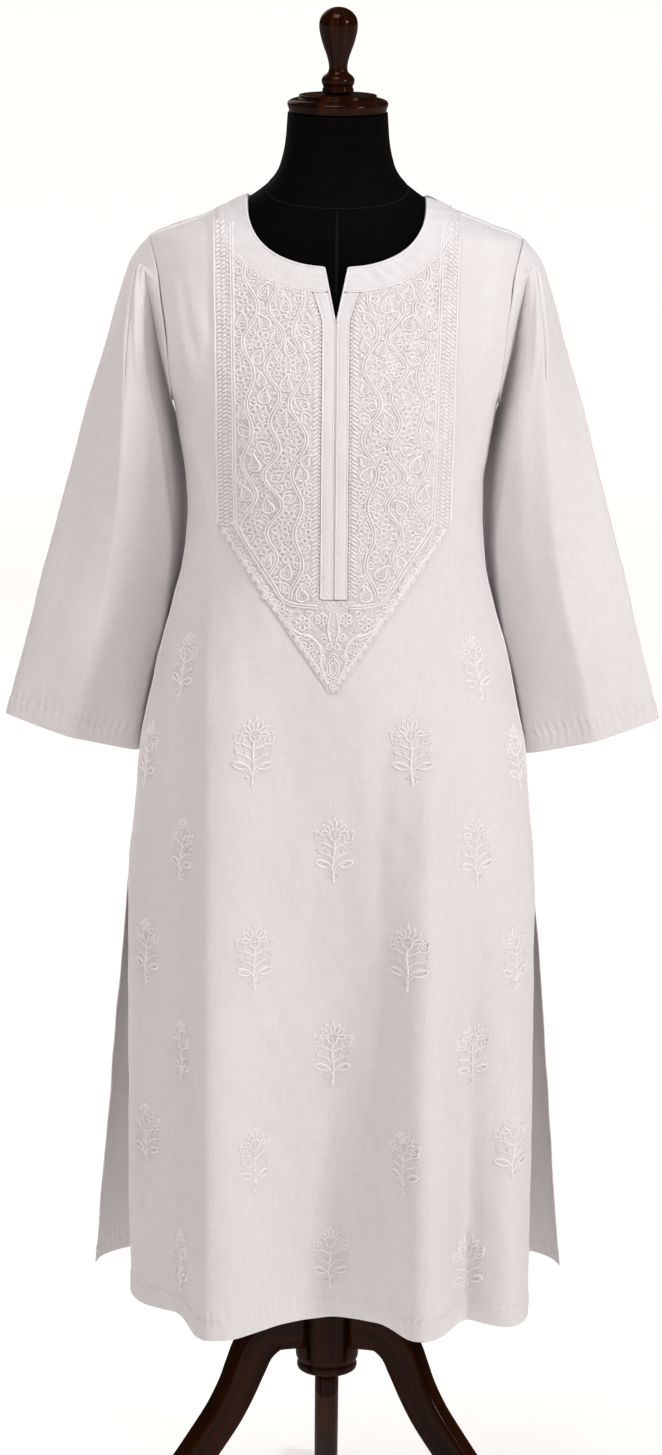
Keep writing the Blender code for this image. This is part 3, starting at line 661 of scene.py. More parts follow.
# Start x and z, end x and z, width on the left and on the right, height: fold edges that run
# down to the hem, steep on the left and easy on the right
FRONT_RIDGES = (
    (-0.1190, 1.125, -0.1170, 0.300, 0.016, 0.055, 0.0120),
    (0.0900, 0.990, 0.0943, 0.300, 0.014, 0.045, 0.0085),
    (0.1090, 0.930, 0.1110, 0.300, 0.006, 0.010, 0.0012),
    (-0.1620, 0.900, -0.1600, 0.300, 0.012, 0.020, 0.0020),
    (0.1540, 0.860, 0.1580, 0.300, 0.012, 0.022, 0.0022),
    (-0.0400, 0.780, -0.0430, 0.300, 0.024, 0.030, 0.0018),
)
BACK_CREASES = (
    (-0.150, 1.330, -0.120, 1.220, 0.0070, 0.0024),
    (0.150, 1.330, 0.120, 1.220, 0.0070, 0.0024),
    (-0.110, 1.140, -0.060, 1.060, 0.0080, 0.0022),
    (0.110, 1.140, 0.060, 1.060, 0.0080, 0.0022),
    (-0.090, 1.050, -0.080, 0.900, 0.0080, 0.0016),
    (0.090, 1.050, 0.085, 0.900, 0.0080, 0.0016),
)
RIPPLE_SEED = 7
RIPPLE_WAVES = 22
RIPPLE_HEIGHT = 0.00040
RIPPLE_LENGTHS = (0.025, 0.140)
RIPPLE_LEAN = 0.45
RIPPLE_GAIN = 1.4


def crease_height(x, z, creases):
    """Sum of ridges: height times exp(-(distance / width)^2), faded out towards both ends."""
    total = np.zeros(np.broadcast(x, z).shape)
    for x0, z0, x1, z1, width, height in creases:
        along = ((x - x0) * (x1 - x0) + (z - z0) * (z1 - z0)) / ((x1 - x0) ** 2 + (z1 - z0) ** 2)
        length = math.hypot(x1 - x0, z1 - z0)
        across = ((x - x0) * (z1 - z0) - (z - z0) * (x1 - x0)) / length
        fade = np.sin(np.clip(along, 0, 1) * math.pi) ** 0.7
        total += height * fade * np.exp(-(across / width) ** 2)
    return total


def ridge_height(x, z, ridges):
    """Sum of fold edges: height times exp(-distance / width), grown in from their start."""
    total = np.zeros(np.broadcast(x, z).shape)
    for x0, z0, x1, z1, left, right, height in ridges:
        down = np.clip((z0 - z) / (z0 - z1), 0, 1)
        away = x - (x0 + (x1 - x0) * down)
        grown = np.clip(down * 4, 0, 1)
        grown = grown * grown * (3 - 2 * grown)
        total += height * grown * np.exp(-np.abs(away / np.where(away < 0, left, right)))
    return total


def ripple(x, z, seed, height):
    """Sum of RIPPLE_WAVES sine waves, mostly upright, with lengths in RIPPLE_LENGTHS."""
    chance = np.random.default_rng(seed)
    total = np.zeros(np.broadcast(x, z).shape)
    for _ in range(RIPPLE_WAVES):
        wave = 2 * math.pi / chance.uniform(*RIPPLE_LENGTHS)
        lean = chance.normal(0.0, RIPPLE_LEAN)
        phase = chance.uniform(0, 2 * math.pi)
        total += np.sin(wave * (x * math.cos(lean) + z * math.sin(lean)) + phase)
    return height * total / math.sqrt(RIPPLE_WAVES) * RIPPLE_GAIN


HEM_STEP = 0.0006
HEM_GROOVE = 0.0003
GROOVE_HALF = 0.0011


def hem_relief(from_edge, width):
    """Doubled cloth of a hem: a step up below the stitch line, and a groove along it."""
    step = HEM_STEP * np.clip((width + 0.001 - from_edge) / 0.002, 0, 1)
    return step - HEM_GROOVE * np.exp(-((from_edge - width) / GROOVE_HALF) ** 2)


# Arc of a squared section near its side, as a share of the arc of a circle
ARC_SHARE = 0.62


def side_run(turn, z, half):
    """Rough distance along the cloth from a slit edge: turn left times half width times share."""
    return (math.pi / 2 - np.abs(turn)) * half(z) * ARC_SHARE


def relief(turn, z, half, creases, ridges, seed):
    """Height of everything small: creases, fold edges, ripples, hem and slit hems."""
    x = half(z) * np.sin(turn)
    slit = np.where(z < SLIT_TOP_Z, hem_relief(side_run(turn, z, half), SLIT_HEM_WIDTH), 0)
    return (crease_height(x, z, creases) + ridge_height(x, z, ridges)
            + ripple(x, z, seed, RIPPLE_HEIGHT) + hem_relief(z - HEM_Z, HEM_WIDTH) + slit)


SLOPE_TURN = 0.004
SLOPE_Z = 0.0015
EDGE_TURN = 0.02


def outward(surface, turn, z):
    """Unit normal of a smooth body surface: cross product of its two slopes."""
    limit = math.pi / 2 - EDGE_TURN
    inside = np.clip(turn, -limit, limit)
    along = surface(inside + SLOPE_TURN, z) - surface(inside - SLOPE_TURN, z)
    up = surface(inside, z + SLOPE_Z) - surface(inside, z - SLOPE_Z)
    normal = np.cross(along, up)
    normal /= np.linalg.norm(normal, axis=-1, keepdims=True)
    return normal if surface is front_points else -normal


def front(turn, z, lift=0.0):
    """Point of the finished front, lifted by a distance along the smooth normal."""
    height = relief(turn, z, front_half, FRONT_CREASES, FRONT_RIDGES, RIPPLE_SEED) + lift
    return front_points(turn, z) + height[..., None] * outward(front_points, turn, z)


def back(turn, z, lift=0.0):
    """Point of the finished back, lifted by a distance along the smooth normal."""
    height = relief(turn, z, back_half, BACK_CREASES, (), RIPPLE_SEED + 1) + lift
    return back_points(turn, z) + height[..., None] * outward(back_points, turn, z)


def turn_at(x, z, half):
    """Turn, with its sign, of the point that lies x from the middle at height z."""
    return np.arcsin(np.clip(x / half(z), -1.0, 1.0))


# %% [markdown]
# ## Front and back panels
#
# Each panel is cut in one piece, from the shoulder seams to the hem. Its rows run from the
# neckline, the notch or the middle to the shoulder, the armhole or the side. Rows lie closer
# together near the neck, where the shoulder rounds, and at the hem, where the stitching sinks
# in. The sheet then gets a thin wall.

# %% Neckline curves
NECK_HALF = 0.0870
NECK_DROP = 0.0590
BACK_NECK_DROP = 0.0180
NECK_SQUARENESS = 2.3
NOTCH_HALF = 0.0110
NOTCH_TIP_Z = 1.3050
YOKE_TIP_Z = 0.9460


def oval(half, drop, angle):
    """Neckline: half cos(angle)^(2/n) across and drop sin(angle)^(2/n) down."""
    power = 2 / NECK_SQUARENESS
    return (half * np.maximum(np.cos(angle), 0) ** power,
            NECK_POINT_Z - drop * np.sin(angle) ** power)


def oval_end(half, x):
    """Angle at which a neckline curve has come in to x from the middle."""
    return math.acos((x / half) ** (NECK_SQUARENESS / 2))


def shoulder_start(half, drop):
    """Angle at which a neckline curve leaves the shoulder seam."""
    angles = np.linspace(0, 0.5, 2001)
    x, z = oval(half, drop, angles)
    return float(angles[np.argmax(x <= front_half(z))])


def eased(start, end, count):
    """Values from start to end, closest together at the start."""
    return start + (end - start) * np.linspace(0, 1, count) ** SHOULDER_EASE


def outer_edge(z):
    """Distance of a panel's side edge from the middle, as a share of its section."""
    seam = column(z, ARMHOLE, 1) / front_half(z)
    return np.where(z > UNDERARM_Z, np.minimum(seam, 1.0), 1.0)


print("neck", round(2 * NECK_HALF, 3), "wide and", NECK_DROP, "deep, in metres")


# %% Panels
PANEL_COLUMNS = 58
HEM_TOP_Z = HEM_Z + 0.032


def panel_halves(surface, half, x_in, z_in):
    """Grids of a panel's two halves, and their weave and edge maps."""
    level = int(np.argmax(z_in < LEVEL_ROWS_Z))
    z_out = z_in.copy()
    z_out[:level + 1] = eased(SHOULDER_TIP_Z, z_in[level], level + 1)
    turn_in = turn_at(x_in, z_in, half)
    turn_in[0] = math.pi / 2
    turn_out = np.arcsin(outer_edge(z_out))
    shares = np.linspace(0, 1, PANEL_COLUMNS + 1)
    grids = []
    maps = {"weave": [], "edges": []}
    for side in (1, -1):
        turns = side * between(turn_in, turn_out, shares)
        heights = between(z_in, z_out, shares)
        grid = surface(turns, heights)
        across = side * (x_in[:, None] + lengths(grid, axis=1))
        from_side = np.where(heights < SLIT_TOP_Z, side_run(turns, heights, half), 1.0)
        weave = np.stack([across, heights], axis=-1)
        edges = np.stack([heights - HEM_Z, from_side], axis=-1)
        if (side > 0) != (surface is front):
            grid, weave, edges = grid[:, ::-1], weave[:, ::-1], edges[:, ::-1]
        grids.append(grid)
        maps["weave"].append(weave)
        maps["edges"].append(edges)
    return grids, maps


def make_panel(name, node, surface, half, neck_x, neck_z, rows):
    """Panel from its neckline down the middle to the hem, with so many rows in each part."""
    z_in = [neck_z]
    for low, count in zip((YOKE_TIP_Z, HEM_TOP_Z, HEM_Z), rows):
        z_in.append(np.linspace(z_in[-1][-1], low, count + 1)[1:])
    z_in = np.concatenate(z_in)
    x_in = np.concatenate([neck_x, np.zeros(len(z_in) - len(neck_x))])
    grids, maps = panel_halves(surface, half, x_in, z_in)
    piece(grid_mesh(name, grids, maps), "cotton", [node], CLOTH_WALL)
    return grids


def make_front_panel():
    """Front panel: its neckline ends in the notch, whose sides run straight to its tip."""
    x, z = oval(NECK_HALF, NECK_DROP, eased(0, oval_end(NECK_HALF, NOTCH_HALF), 44))
    notch = np.linspace(0, 1, 11)[1:]
    x = np.concatenate([x, NOTCH_HALF * (1 - notch)])
    z = np.concatenate([z, z[-1] + (NOTCH_TIP_Z - z[-1]) * notch])
    return make_panel("kurta_front", "front_panel", front, front_half, x, z, (110, 150, 27))


def make_back_panel():
    """Back panel with its shallow neckline."""
    x, z = oval(NECK_HALF, BACK_NECK_DROP, eased(0, math.pi / 2, 40))
    return make_panel("kurta_back", "back_panel", back, back_half, x, z, (95, 120, 27))


front_grids = make_front_panel()
back_grids = make_back_panel()
print("front cloth", round(cloth_area(front_grids), 3), "back cloth",
      round(cloth_area(back_grids), 3), "square metres")

# %% [markdown]
# ## Bell sleeves
#
# A sleeve is a tube that starts as the armhole seam and widens to its mouth. On a form with
# no arms it falls flat, so its sections are long ovals with a sharp fold at the front and one
# at the back. Five named edges of each ring carry it: outer edge, front layer, front fold,
# inner back edge and back layer. Smooth curves run between them, along and around.

# %% Sleeve tables
# Outer edge x and z, front fold x, y and z, inner back edge x, y and z, then the depths of
# the front and back layers
SLEEVE_RINGS = np.array((
    (0.2005, 1.3520, 0.1870, -0.034, 1.3440, 0.1625, 0.012, 1.2050, 0.026, 0.040),
    (0.2139, 1.3126, 0.1885, -0.040, 1.3020, 0.1560, 0.026, 1.1840, 0.040, 0.054),
    (0.2250, 1.2728, 0.1860, -0.042, 1.2580, 0.1470, 0.048, 1.1600, 0.046, 0.060),
    (0.2470, 1.1960, 0.1715, -0.036, 1.1737, 0.1430, 0.064, 1.1280, 0.047, 0.064),
    (0.2700, 1.1070, 0.1625, -0.010, 1.0750, 0.1440, 0.068, 1.0620, 0.040, 0.070),
    (0.2885, 1.0370, 0.1700, 0.006, 1.0000, 0.1580, 0.066, 0.9880, 0.030, 0.070),
    (0.3085, 0.9600, 0.1870, 0.010, 0.9230, 0.1800, 0.060, 0.9160, 0.025, 0.064),
    (0.3253, 0.8940, 0.1990, 0.010, 0.8570, 0.1900, 0.055, 0.8540, 0.020, 0.057),
))
SLEEVE_OUTER_Y = 0.004
LOOP_SHARES = np.array((0.0, 0.07, 0.16, 0.52, 0.78, 1.0))
LOOP_STEPS = np.array((18, 18, 24, 18, 18))
CORNER_PULL = 0.16
SLEEVE_HEM = 0.0185
# Place round the sleeve and along it where a crease starts and ends, in metres, then its
# half width and height
SLEEVE_CREASES = (
    (0.100, 0.004, 0.120, 0.140, 0.0060, 0.0030),
    (0.060, 0.002, 0.070, 0.120, 0.0080, 0.0024),
    (0.085, 0.010, 0.080, 0.160, 0.0050, -0.0022),
    (0.125, 0.120, 0.105, 0.420, 0.0100, 0.0018),
    (0.045, 0.200, 0.050, 0.470, 0.0120, 0.0014),
    (0.330, 0.010, 0.320, 0.180, 0.0080, 0.0026),
    (0.290, 0.150, 0.300, 0.440, 0.0120, 0.0020),
)
SLEEVE_ROUND = 0.40
SLEEVE_LONG = 0.50


# %% Sleeve surface
def armhole_ring(shares):
    """Points of the armhole seam: share 0 at the shoulder tip, front first, 0.5 underarm."""
    height = SHOULDER_TIP_Z + (UNDERARM_Z - SHOULDER_TIP_Z) * (1 - np.abs(1 - 2 * shares))
    turn = np.arcsin(outer_edge(height))
    return np.where((shares < 0.5)[:, None], front_points(turn, height),
                    back_points(turn, height))


def sleeve_edges():
    """The five named edges of every ring, as rings by edges by x, y, z."""
    out_x, out_z, fold_x, fold_y, fold_z, in_x, in_y, in_z, front_y, back_y = SLEEVE_RINGS.T
    edges = np.array([
        (out_x, 0 * out_x + SLEEVE_OUTER_Y, out_z),
        ((out_x + fold_x) / 2, -front_y, (out_z + fold_z) / 2),
        (fold_x, fold_y, fold_z),
        (in_x, in_y, in_z),
        ((out_x + in_x) / 2, back_y, (out_z + in_z) / 2),
    ])
    return edges.transpose(2, 0, 1) + np.array([0, AXIS_Y, 0])


def sleeve_grid():
    """Smooth tube through all rings: Hermite curves around each ring, monotone cubics
    along the sleeve."""
    span = np.repeat(np.arange(5), LOOP_STEPS)
    t = np.concatenate([np.arange(count) / count for count in LOOP_STEPS])
    shares = LOOP_SHARES[span] + (LOOP_SHARES[span + 1] - LOOP_SHARES[span]) * t
    edges = sleeve_edges()
    pull = CORNER_PULL * (np.roll(edges, -1, axis=1) - np.roll(edges, 1, axis=1))
    after = (span + 1) % 5
    t = t[:, None]
    rings = ((1 + 2 * t) * (1 - t) ** 2 * edges[:, span] + t * (1 - t) ** 2 * pull[:, span]
             + t * t * (3 - 2 * t) * edges[:, after] + t * t * (t - 1) * pull[:, after])
    rings = np.concatenate([armhole_ring(shares)[None], rings])
    last = len(rings) - 1
    at = np.concatenate([np.linspace(0, last - 0.5, 96), np.linspace(last - 0.5, last, 30)[1:]])
    return smooth(at, np.arange(last + 1), rings.reshape(last + 1, -1)).reshape(
        len(at), -1, 3)


def grid_normals(grid):
    """Unit normals of a grid that is closed round its rows, pointing out of the tube."""
    along = np.gradient(grid, axis=0)
    around = np.roll(grid, -1, axis=1) - np.roll(grid, 1, axis=1)
    normal = np.cross(along, around)
    normal /= np.maximum(np.linalg.norm(normal, axis=-1, keepdims=True), 1e-9)
    away = grid - grid.mean(axis=1, keepdims=True)
    return normal * np.sign((normal * away).sum(axis=-1).mean())


def finished_sleeve():
    """Left sleeve with its creases and hem: grid, normals and distance from the mouth."""
    grid = sleeve_grid()
    normals = grid_normals(grid)
    run = lengths(grid, axis=0)
    from_mouth = run[-1] - run
    around = np.broadcast_to(np.linspace(0, SLEEVE_ROUND, grid.shape[1] + 1)[:-1], run.shape)
    along = run / run[-1] * SLEEVE_LONG
    height = crease_height(around, along, SLEEVE_CREASES)
    height += ripple(around, along, RIPPLE_SEED + 2, RIPPLE_HEIGHT) * np.clip(along / 0.03, 0, 1)
    height += hem_relief(from_mouth, SLEEVE_HEM)
    return grid + height[..., None] * normals, normals, from_mouth


def make_sleeves():
    """Both sleeves: one grid, and its mirror image."""
    grid, normals, from_mouth = finished_sleeve()
    girth = np.concatenate([grid, grid[:, :1]], axis=1)
    weave = np.stack([lengths(girth, axis=1),
                      np.concatenate([from_mouth, from_mouth[:, :1]], axis=1)], axis=-1)
    edges = np.stack([weave[..., 1] + HEM_WIDTH - SLEEVE_HEM, 0 * weave[..., 1] + 1], axis=-1)
    for name, node, side in (("sleeve_cloth_left", "sleeve_left", 1),
                             ("sleeve_cloth_right", "sleeve_right", -1)):
        tube = grid * np.array([side, 1, 1])
        maps = {"weave": [weave], "edges": [edges]}
        if side < 0:
            tube = tube[:, ::-1]
            maps = {"weave": [weave[:, ::-1]], "edges": [edges[:, ::-1]]}
        mesh = grid_mesh(name, [tube], maps, closed=True)
        piece(mesh, "cotton", [node], CLOTH_WALL)
    return grid, normals, from_mouth


sleeve_points, sleeve_normals, sleeve_from_mouth = make_sleeves()
print("sleeve length", round(float(sleeve_from_mouth[0].max()), 3), "mouth round",
      round(float(lengths(sleeve_points[-1:], axis=1)[0, -1]), 3), "metres")

# %% [markdown]
# ## Neck band and placket
#
# A shaped band finishes the neckline, and two narrow strips run down both sides of the notch
# to the end of the bib. They are cloth on cloth, so each is a grid on the body surface, with
# its edges turned down to it, a groove where it is stitched, and faint ripples across.

# %% Trim surfaces
BAND_HALF = 0.1140
BAND_DROP = 0.0820
BACK_BAND_DROP = 0.0430
STRIP_WIDTH = 0.0126
STRIP_TOP_HALF = 0.0215
STRIP_END_Z = 1.0380
STRIP_GAP = 0.0008
TRIM_LIFT = 0.0017
TRIM_FOOT = 0.0002
EDGE_TURNDOWN = 0.0009
GROOVE_DEPTH = 0.0005
GROOVE_REACH = 0.0007
# Distances of the stitch grooves from the inner edge
BAND_GROOVES = (0.0245,)
STRIP_GROOVES = (0.0018, 0.0100)
BAND_COLUMNS = 14
STRIP_COLUMNS = 6
# Pitch, lean and height of the ripples across a strip
BAND_WAVES = (0.0135, 0.6, 0.00050)
STRIP_WAVES = (0.0078, 0.8, 0.00016)


def trim_lift(across, width, grooves=()):
    """Height of a stitched strip: turned down at both edges, with a groove at each stitch."""
    from_edge = np.minimum(across, width - across)
    lift = TRIM_FOOT + (TRIM_LIFT - TRIM_FOOT) * np.sqrt(np.clip(from_edge / EDGE_TURNDOWN, 0, 1))
    for groove in grooves:
        lift = lift - GROOVE_DEPTH * np.exp(-((across - groove) / GROOVE_REACH) ** 2)
    return lift


def edge_shares(width, inner):
    """Shares across a strip: close together within 2.5 mm of both edges."""
    rim = np.array([0, 0.25, 0.5, 0.8, 1.2, 1.7, 2.2, 2.7]) * 0.001 / width
    return np.concatenate([rim, np.linspace(rim[-1], 1 - rim[-1], inner)[1:-1], 1 - rim[::-1]])


def trim_grid(surface, side, turn_in, turn_out, z_in, z_out, inner, grooves, waves):
    """Grid of a strip between two edges on a body surface, with its weave map."""
    flat = surface(np.stack([turn_in, turn_out], axis=1), np.stack([z_in, z_out], axis=1))
    width = float(np.median(np.linalg.norm(flat[:, 1] - flat[:, 0], axis=-1)))
    shares = edge_shares(width, inner)
    turns = between(turn_in, turn_out, shares)
    heights = between(z_in, z_out, shares)
    across = np.broadcast_to(shares * width, turns.shape)
    run = lengths(flat[:, :1], axis=0) * np.ones_like(turns)
    pitch, lean, high = waves
    wave = np.sin(2 * math.pi * (run + lean * across) / pitch + 2.0 * np.sin(run / 0.017))
    lift = trim_lift(across, width, grooves) + high * wave * np.sin(math.pi * shares)
    grid = surface(side * turns, heights, lift)
    weave = np.stack([across, run], axis=-1)
    if (side > 0) != (surface is front):
        return grid[:, ::-1], weave[:, ::-1]
    return grid, weave


def strip_piece(name, grids, node, finish="trim"):
    """Trim piece of one or two grids, with its maps."""
    maps = {"weave": [weave for _, weave in grids],
            "edges": [np.ones_like(weave) for _, weave in grids]}
    mesh = grid_mesh(name, [grid for grid, _ in grids], maps)
    piece(mesh, finish, [node])


# %% Neck bands
def notch_half(z):
    """Half width of the notch at a height."""
    top = NECK_POINT_Z - NECK_DROP
    return NOTCH_HALF * np.clip((z - NOTCH_TIP_Z) / (top - NOTCH_TIP_Z), 0, 1)


def band_edges(steps):
    """Front band from the shoulder to the notch: inner and outer edges."""
    inner = oval(NECK_HALF, NECK_DROP, eased(0, oval_end(NECK_HALF, NOTCH_HALF), steps))
    end_x = float(notch_half(NECK_POINT_Z - BAND_DROP))
    start = shoulder_start(BAND_HALF, BAND_DROP)
    outer = oval(BAND_HALF, BAND_DROP, eased(start, oval_end(BAND_HALF, end_x), steps))
    return inner, outer


def make_neck_bands():
    """Two front bands, and a back band of two halves."""
    (in_x, in_z), (out_x, out_z) = band_edges(110)
    turn_in = turn_at(in_x, in_z, front_half)
    turn_out = turn_at(out_x, out_z, front_half)
    turn_in[0] = turn_out[0] = math.pi / 2
    for side, word in SIDES:
        grid = trim_grid(front, side, turn_in, turn_out, in_z, out_z, BAND_COLUMNS,
                         BAND_GROOVES, BAND_WAVES)
        strip_piece("neck_facing_" + word, [grid], "neck_band_" + word)
    in_x, in_z = oval(NECK_HALF, BACK_NECK_DROP, eased(0, math.pi / 2, 90))
    start = shoulder_start(BAND_HALF, BACK_BAND_DROP)
    out_x, out_z = oval(BAND_HALF, BACK_BAND_DROP, eased(start, math.pi / 2, 90))
    turn_in = turn_at(in_x, in_z, back_half)
    turn_out = turn_at(out_x, out_z, back_half)
    turn_in[0] = turn_out[0] = math.pi / 2
    turn_in[-1] = turn_out[-1] = 0.0
    halves = [trim_grid(back, side, turn_in, turn_out, in_z, out_z, BAND_COLUMNS,
                        BAND_GROOVES, BAND_WAVES) for side in (1, -1)]
    strip_piece("neck_facing_back", halves, "neck_band_back")


make_neck_bands()
print("neck band about", round((BAND_HALF - NECK_HALF) * 1000, 1), "mm wide at the shoulder")


# %% Placket strips
def strip_outer(z):
    """Outer edge of a placket strip: it leans out beside the notch."""
    top = NECK_POINT_Z - BAND_DROP
    lean = np.clip((z - NOTCH_TIP_Z) / (top - NOTCH_TIP_Z), 0, 1)
    return STRIP_WIDTH + (STRIP_TOP_HALF - STRIP_WIDTH) * lean


def make_placket():
    """Two strips, from the band down past the notch to the end of the placket."""
    top = NECK_POINT_Z - BAND_DROP - STRIP_GAP
    z = np.concatenate([np.linspace(top, NOTCH_TIP_Z, 14),
                        np.linspace(NOTCH_TIP_Z, STRIP_END_Z, 150)[1:]])
    inner = turn_at(notch_half(z) + STRIP_GAP, z, front_half)
    outer = turn_at(strip_outer(z), z, front_half)
    for side, word in SIDES:
        grid = trim_grid(front, side, inner, outer, z, z, STRIP_COLUMNS, STRIP_GROOVES,
                         STRIP_WAVES)
        strip_piece("placket_strip_" + word, [grid], "placket_" + word)


make_placket()
print("placket", round((NOTCH_TIP_Z - STRIP_END_Z) * 1000), "mm long below the notch")

# %% [markdown]
# ## Ground of the bib
#
# The embroidered bib reaches from the shoulders round the band and the placket to a point.
# Its ground is a grid like the strips, with rows that follow the neckline first and lie level
# further down. Dense stitching quilts such a ground, so it is gently uneven, and its colour is
# painted darker in the hollows as painted shade.

# %% Bib ground
YOKE_CORNER_Z = 1.1000
YOKE_EDGE = np.array(((YOKE_TIP_Z, 0.0040), (YOKE_CORNER_Z, 0.1128), (1.4007, 0.1205)))
YOKE_LIFT = 0.0012
YOKE_COLUMNS = 46
QUILT_HEIGHT = 0.00025


def yoke_outer(z):
    """Distance of the bib's outer edge from the middle at a height."""
    return np.interp(z, YOKE_EDGE[:, 0], YOKE_EDGE[:, 1])


def make_yoke():
    """Two halves, from the band, the placket or the middle to the outer edge."""
    start = shoulder_start(BAND_HALF + STRIP_GAP, BAND_DROP + STRIP_GAP)
    top_half = float(strip_outer(NECK_POINT_Z - BAND_DROP)) + STRIP_GAP
    band_x, band_z = oval(BAND_HALF + STRIP_GAP, BAND_DROP + STRIP_GAP,
                          eased(start, oval_end(BAND_HALF + STRIP_GAP, top_half), 50))
    strip_z = np.concatenate([np.linspace(NOTCH_TIP_Z, YOKE_CORNER_Z, 90),
                              np.linspace(YOKE_CORNER_Z, STRIP_END_Z - STRIP_GAP, 28)[1:]])
    point_z = np.linspace(STRIP_END_Z - 2 * STRIP_GAP, YOKE_TIP_Z, 42)
    z_in = np.concatenate([band_z, strip_z, point_z])
    x_in = np.concatenate([band_x, strip_outer(strip_z) + STRIP_GAP, 0 * point_z])
    level = int(np.argmax(z_in < LEVEL_ROWS_Z))
    z_out = z_in.copy()
    z_out[:level + 1] = eased(YOKE_EDGE[-1, 0], z_in[level], level + 1)
    turn_in = turn_at(x_in, z_in, front_half)
    turn_out = turn_at(yoke_outer(z_out), z_out, front_half)
    turn_in[0] = turn_out[0] = math.pi / 2
    shares = np.linspace(0, 1, YOKE_COLUMNS + 1)
    halves = []
    for side in (1, -1):
        turns = side * between(turn_in, turn_out, shares)
        heights = between(z_in, z_out, shares)
        x = front_half(heights) * np.sin(turns)
        inside = np.minimum(1 - shares, np.where(x_in[:, None] > 0, shares, 1.0))
        lift = TRIM_FOOT + (YOKE_LIFT - TRIM_FOOT) * np.clip(inside / 0.02, 0, 1)
        quilt = np.sin(x / 0.0032 + 2 * np.sin(heights / 0.006)) * np.sin(heights / 0.0036)
        lift = lift + QUILT_HEIGHT * quilt * np.clip(inside / 0.05, 0, 1)
        grid = front(turns, heights, lift)
        weave = np.stack([x, heights], axis=-1)
        halves.append((grid, weave) if side > 0 else (grid[:, ::-1], weave[:, ::-1]))
    strip_piece("bib_ground", halves, "yoke", "bib")


make_yoke()
print("bib", round(2 * YOKE_EDGE[-1, 1] * 1000), "mm wide at the shoulders")

# %% [markdown]
# ## White thread
#
# Chikan work is white thread on white cotton, and on the real cloth only its relief shows; here
# the thread is also coloured lighter than the cotton, as painted highlight. A thread is a low
# ridge: two feet just under the cloth and a narrow top above it, which swells and sinks a
# little like stitches in a row. All threads of one piece become one mesh at once.
# Motifs are drawn on flat charts in millimetres, and each chart is then laid on the cloth.

# %% Threads as ridges
STEP = 0.00125
BEAD_PITCH = 0.0037
THREAD_FOOT = -0.0003
TOP_SHARE = 0.42
# Embroidery is drawn fuller than its charts say, and swells at each stitch
WIDTH_GAIN = 1.50
HEIGHT_GAIN = 1.25
BEAD_SHARE = 0.25


def resampled(points):
    """The same line with points STEP apart, and with at least three of them."""
    points = np.asarray(points, float)
    run = run_of(points)
    at = np.linspace(0, run[-1], max(3, int(round(run[-1] / STEP)) + 1))
    return read_line(points, run, at)


def ridge_faces(owner):
    """Sides between neighbouring stations of the same thread, and a cap at both its ends."""
    index = np.arange(len(owner) * 4).reshape(-1, 4)
    same = owner[:-1] == owner[1:]
    low, high = index[:-1][same], index[1:][same]
    sides = np.stack([low, high, np.roll(high, -1, 1), np.roll(low, -1, 1)], -1).reshape(-1, 4)
    first = index[np.concatenate([[True], ~same])][:, [3, 0, 1, 2]]
    last = index[np.concatenate([~same, [True]])][:, [2, 1, 0, 3]]
    return sides.tolist() + first.tolist() + last.tolist()


def thread_piece(name, stitches, chart, ground, finish="thread", sewn=False):
    """One mesh of all stitches, each a line with its width and height in metres. The chart
    turns flat points and the number of their stitch into points on the cloth. Sewn lines
    are as fine as they are drawn, and even all along."""
    fuller, higher, bead = (1.0, 1.0, 0.0) if sewn else (WIDTH_GAIN, HEIGHT_GAIN, BEAD_SHARE)
    lines = [resampled(points) for points, _, _ in stitches]
    counts = np.array([len(line) for line in lines])
    owner = np.repeat(np.arange(len(lines)), counts)
    start = (np.cumsum(counts) - counts)[owner]
    end = start + counts[owner] - 1
    number = np.arange(len(owner))
    flat = np.concatenate(lines)
    along = flat[np.minimum(number + 1, end)] - flat[np.maximum(number - 1, start)]
    along /= np.maximum(np.linalg.norm(along, axis=1, keepdims=True), 1e-9)
    aside = np.stack([-along[:, 1], along[:, 0]], -1)
    tip = np.minimum(number - start, end - number) == 0
    width = fuller * np.array([stitch[1] for stitch in stitches])[owner]
    width = width * np.where(tip, 0.4, 1.0)
    wave = 0.5 - 0.5 * np.cos(2 * math.pi * (number - start + 0.5) * STEP / BEAD_PITCH)
    height = higher * np.array([stitch[2] for stitch in stitches])[owner]
    height = height * (1 - bead + bead * wave) * np.where(tip, 0.35, 1.0)
    half = (width / 2)[:, None] * aside
    top = TOP_SHARE * half
    across = np.stack([flat - half, flat - top, flat + top, flat + half], 1)
    foot = THREAD_FOOT + 0 * height
    lift = ground + np.stack([foot, height, height, foot], 1)
    points = chart(across, owner[:, None], lift)
    mesh = bpy.data.meshes.new(name)
    mesh.from_pydata(points.reshape(-1, 3).tolist(), [], ridge_faces(owner))
    piece(mesh, finish)


def bib_chart(flat, owner, lift):
    """Chart of the bib: x and z are those of the frame."""
    x, z = flat[..., 0], flat[..., 1]
    return front(turn_at(x, z, front_half), z, lift)


# %% Motifs, drawn in millimetres with up along the second axis
def turned_about(lines, x, z, degrees=0.0):
    """Lines turned clockwise and set down at x, z on a chart in metres."""
    angle = math.radians(degrees)
    turn = np.array([[math.cos(angle), -math.sin(angle)], [math.sin(angle), math.cos(angle)]])
    return [((np.asarray(points) * 0.001) @ turn + [x, z], width, height)
            for points, width, height in lines]


def moved(lines, x, z):
    """Lines moved by x and z on their chart."""
    return [(points + [x, z], width, height) for points, width, height in lines]


def in_millimetres(lines):
    """Lines of a chart in metres, drawn in millimetres again."""
    return [(points * 1000, width, height) for points, width, height in lines]


def curve(points, width=0.0013, height=0.0009):
    """A stitched line, its corners cut twice."""
    return cut_corners(points, 2), width, height


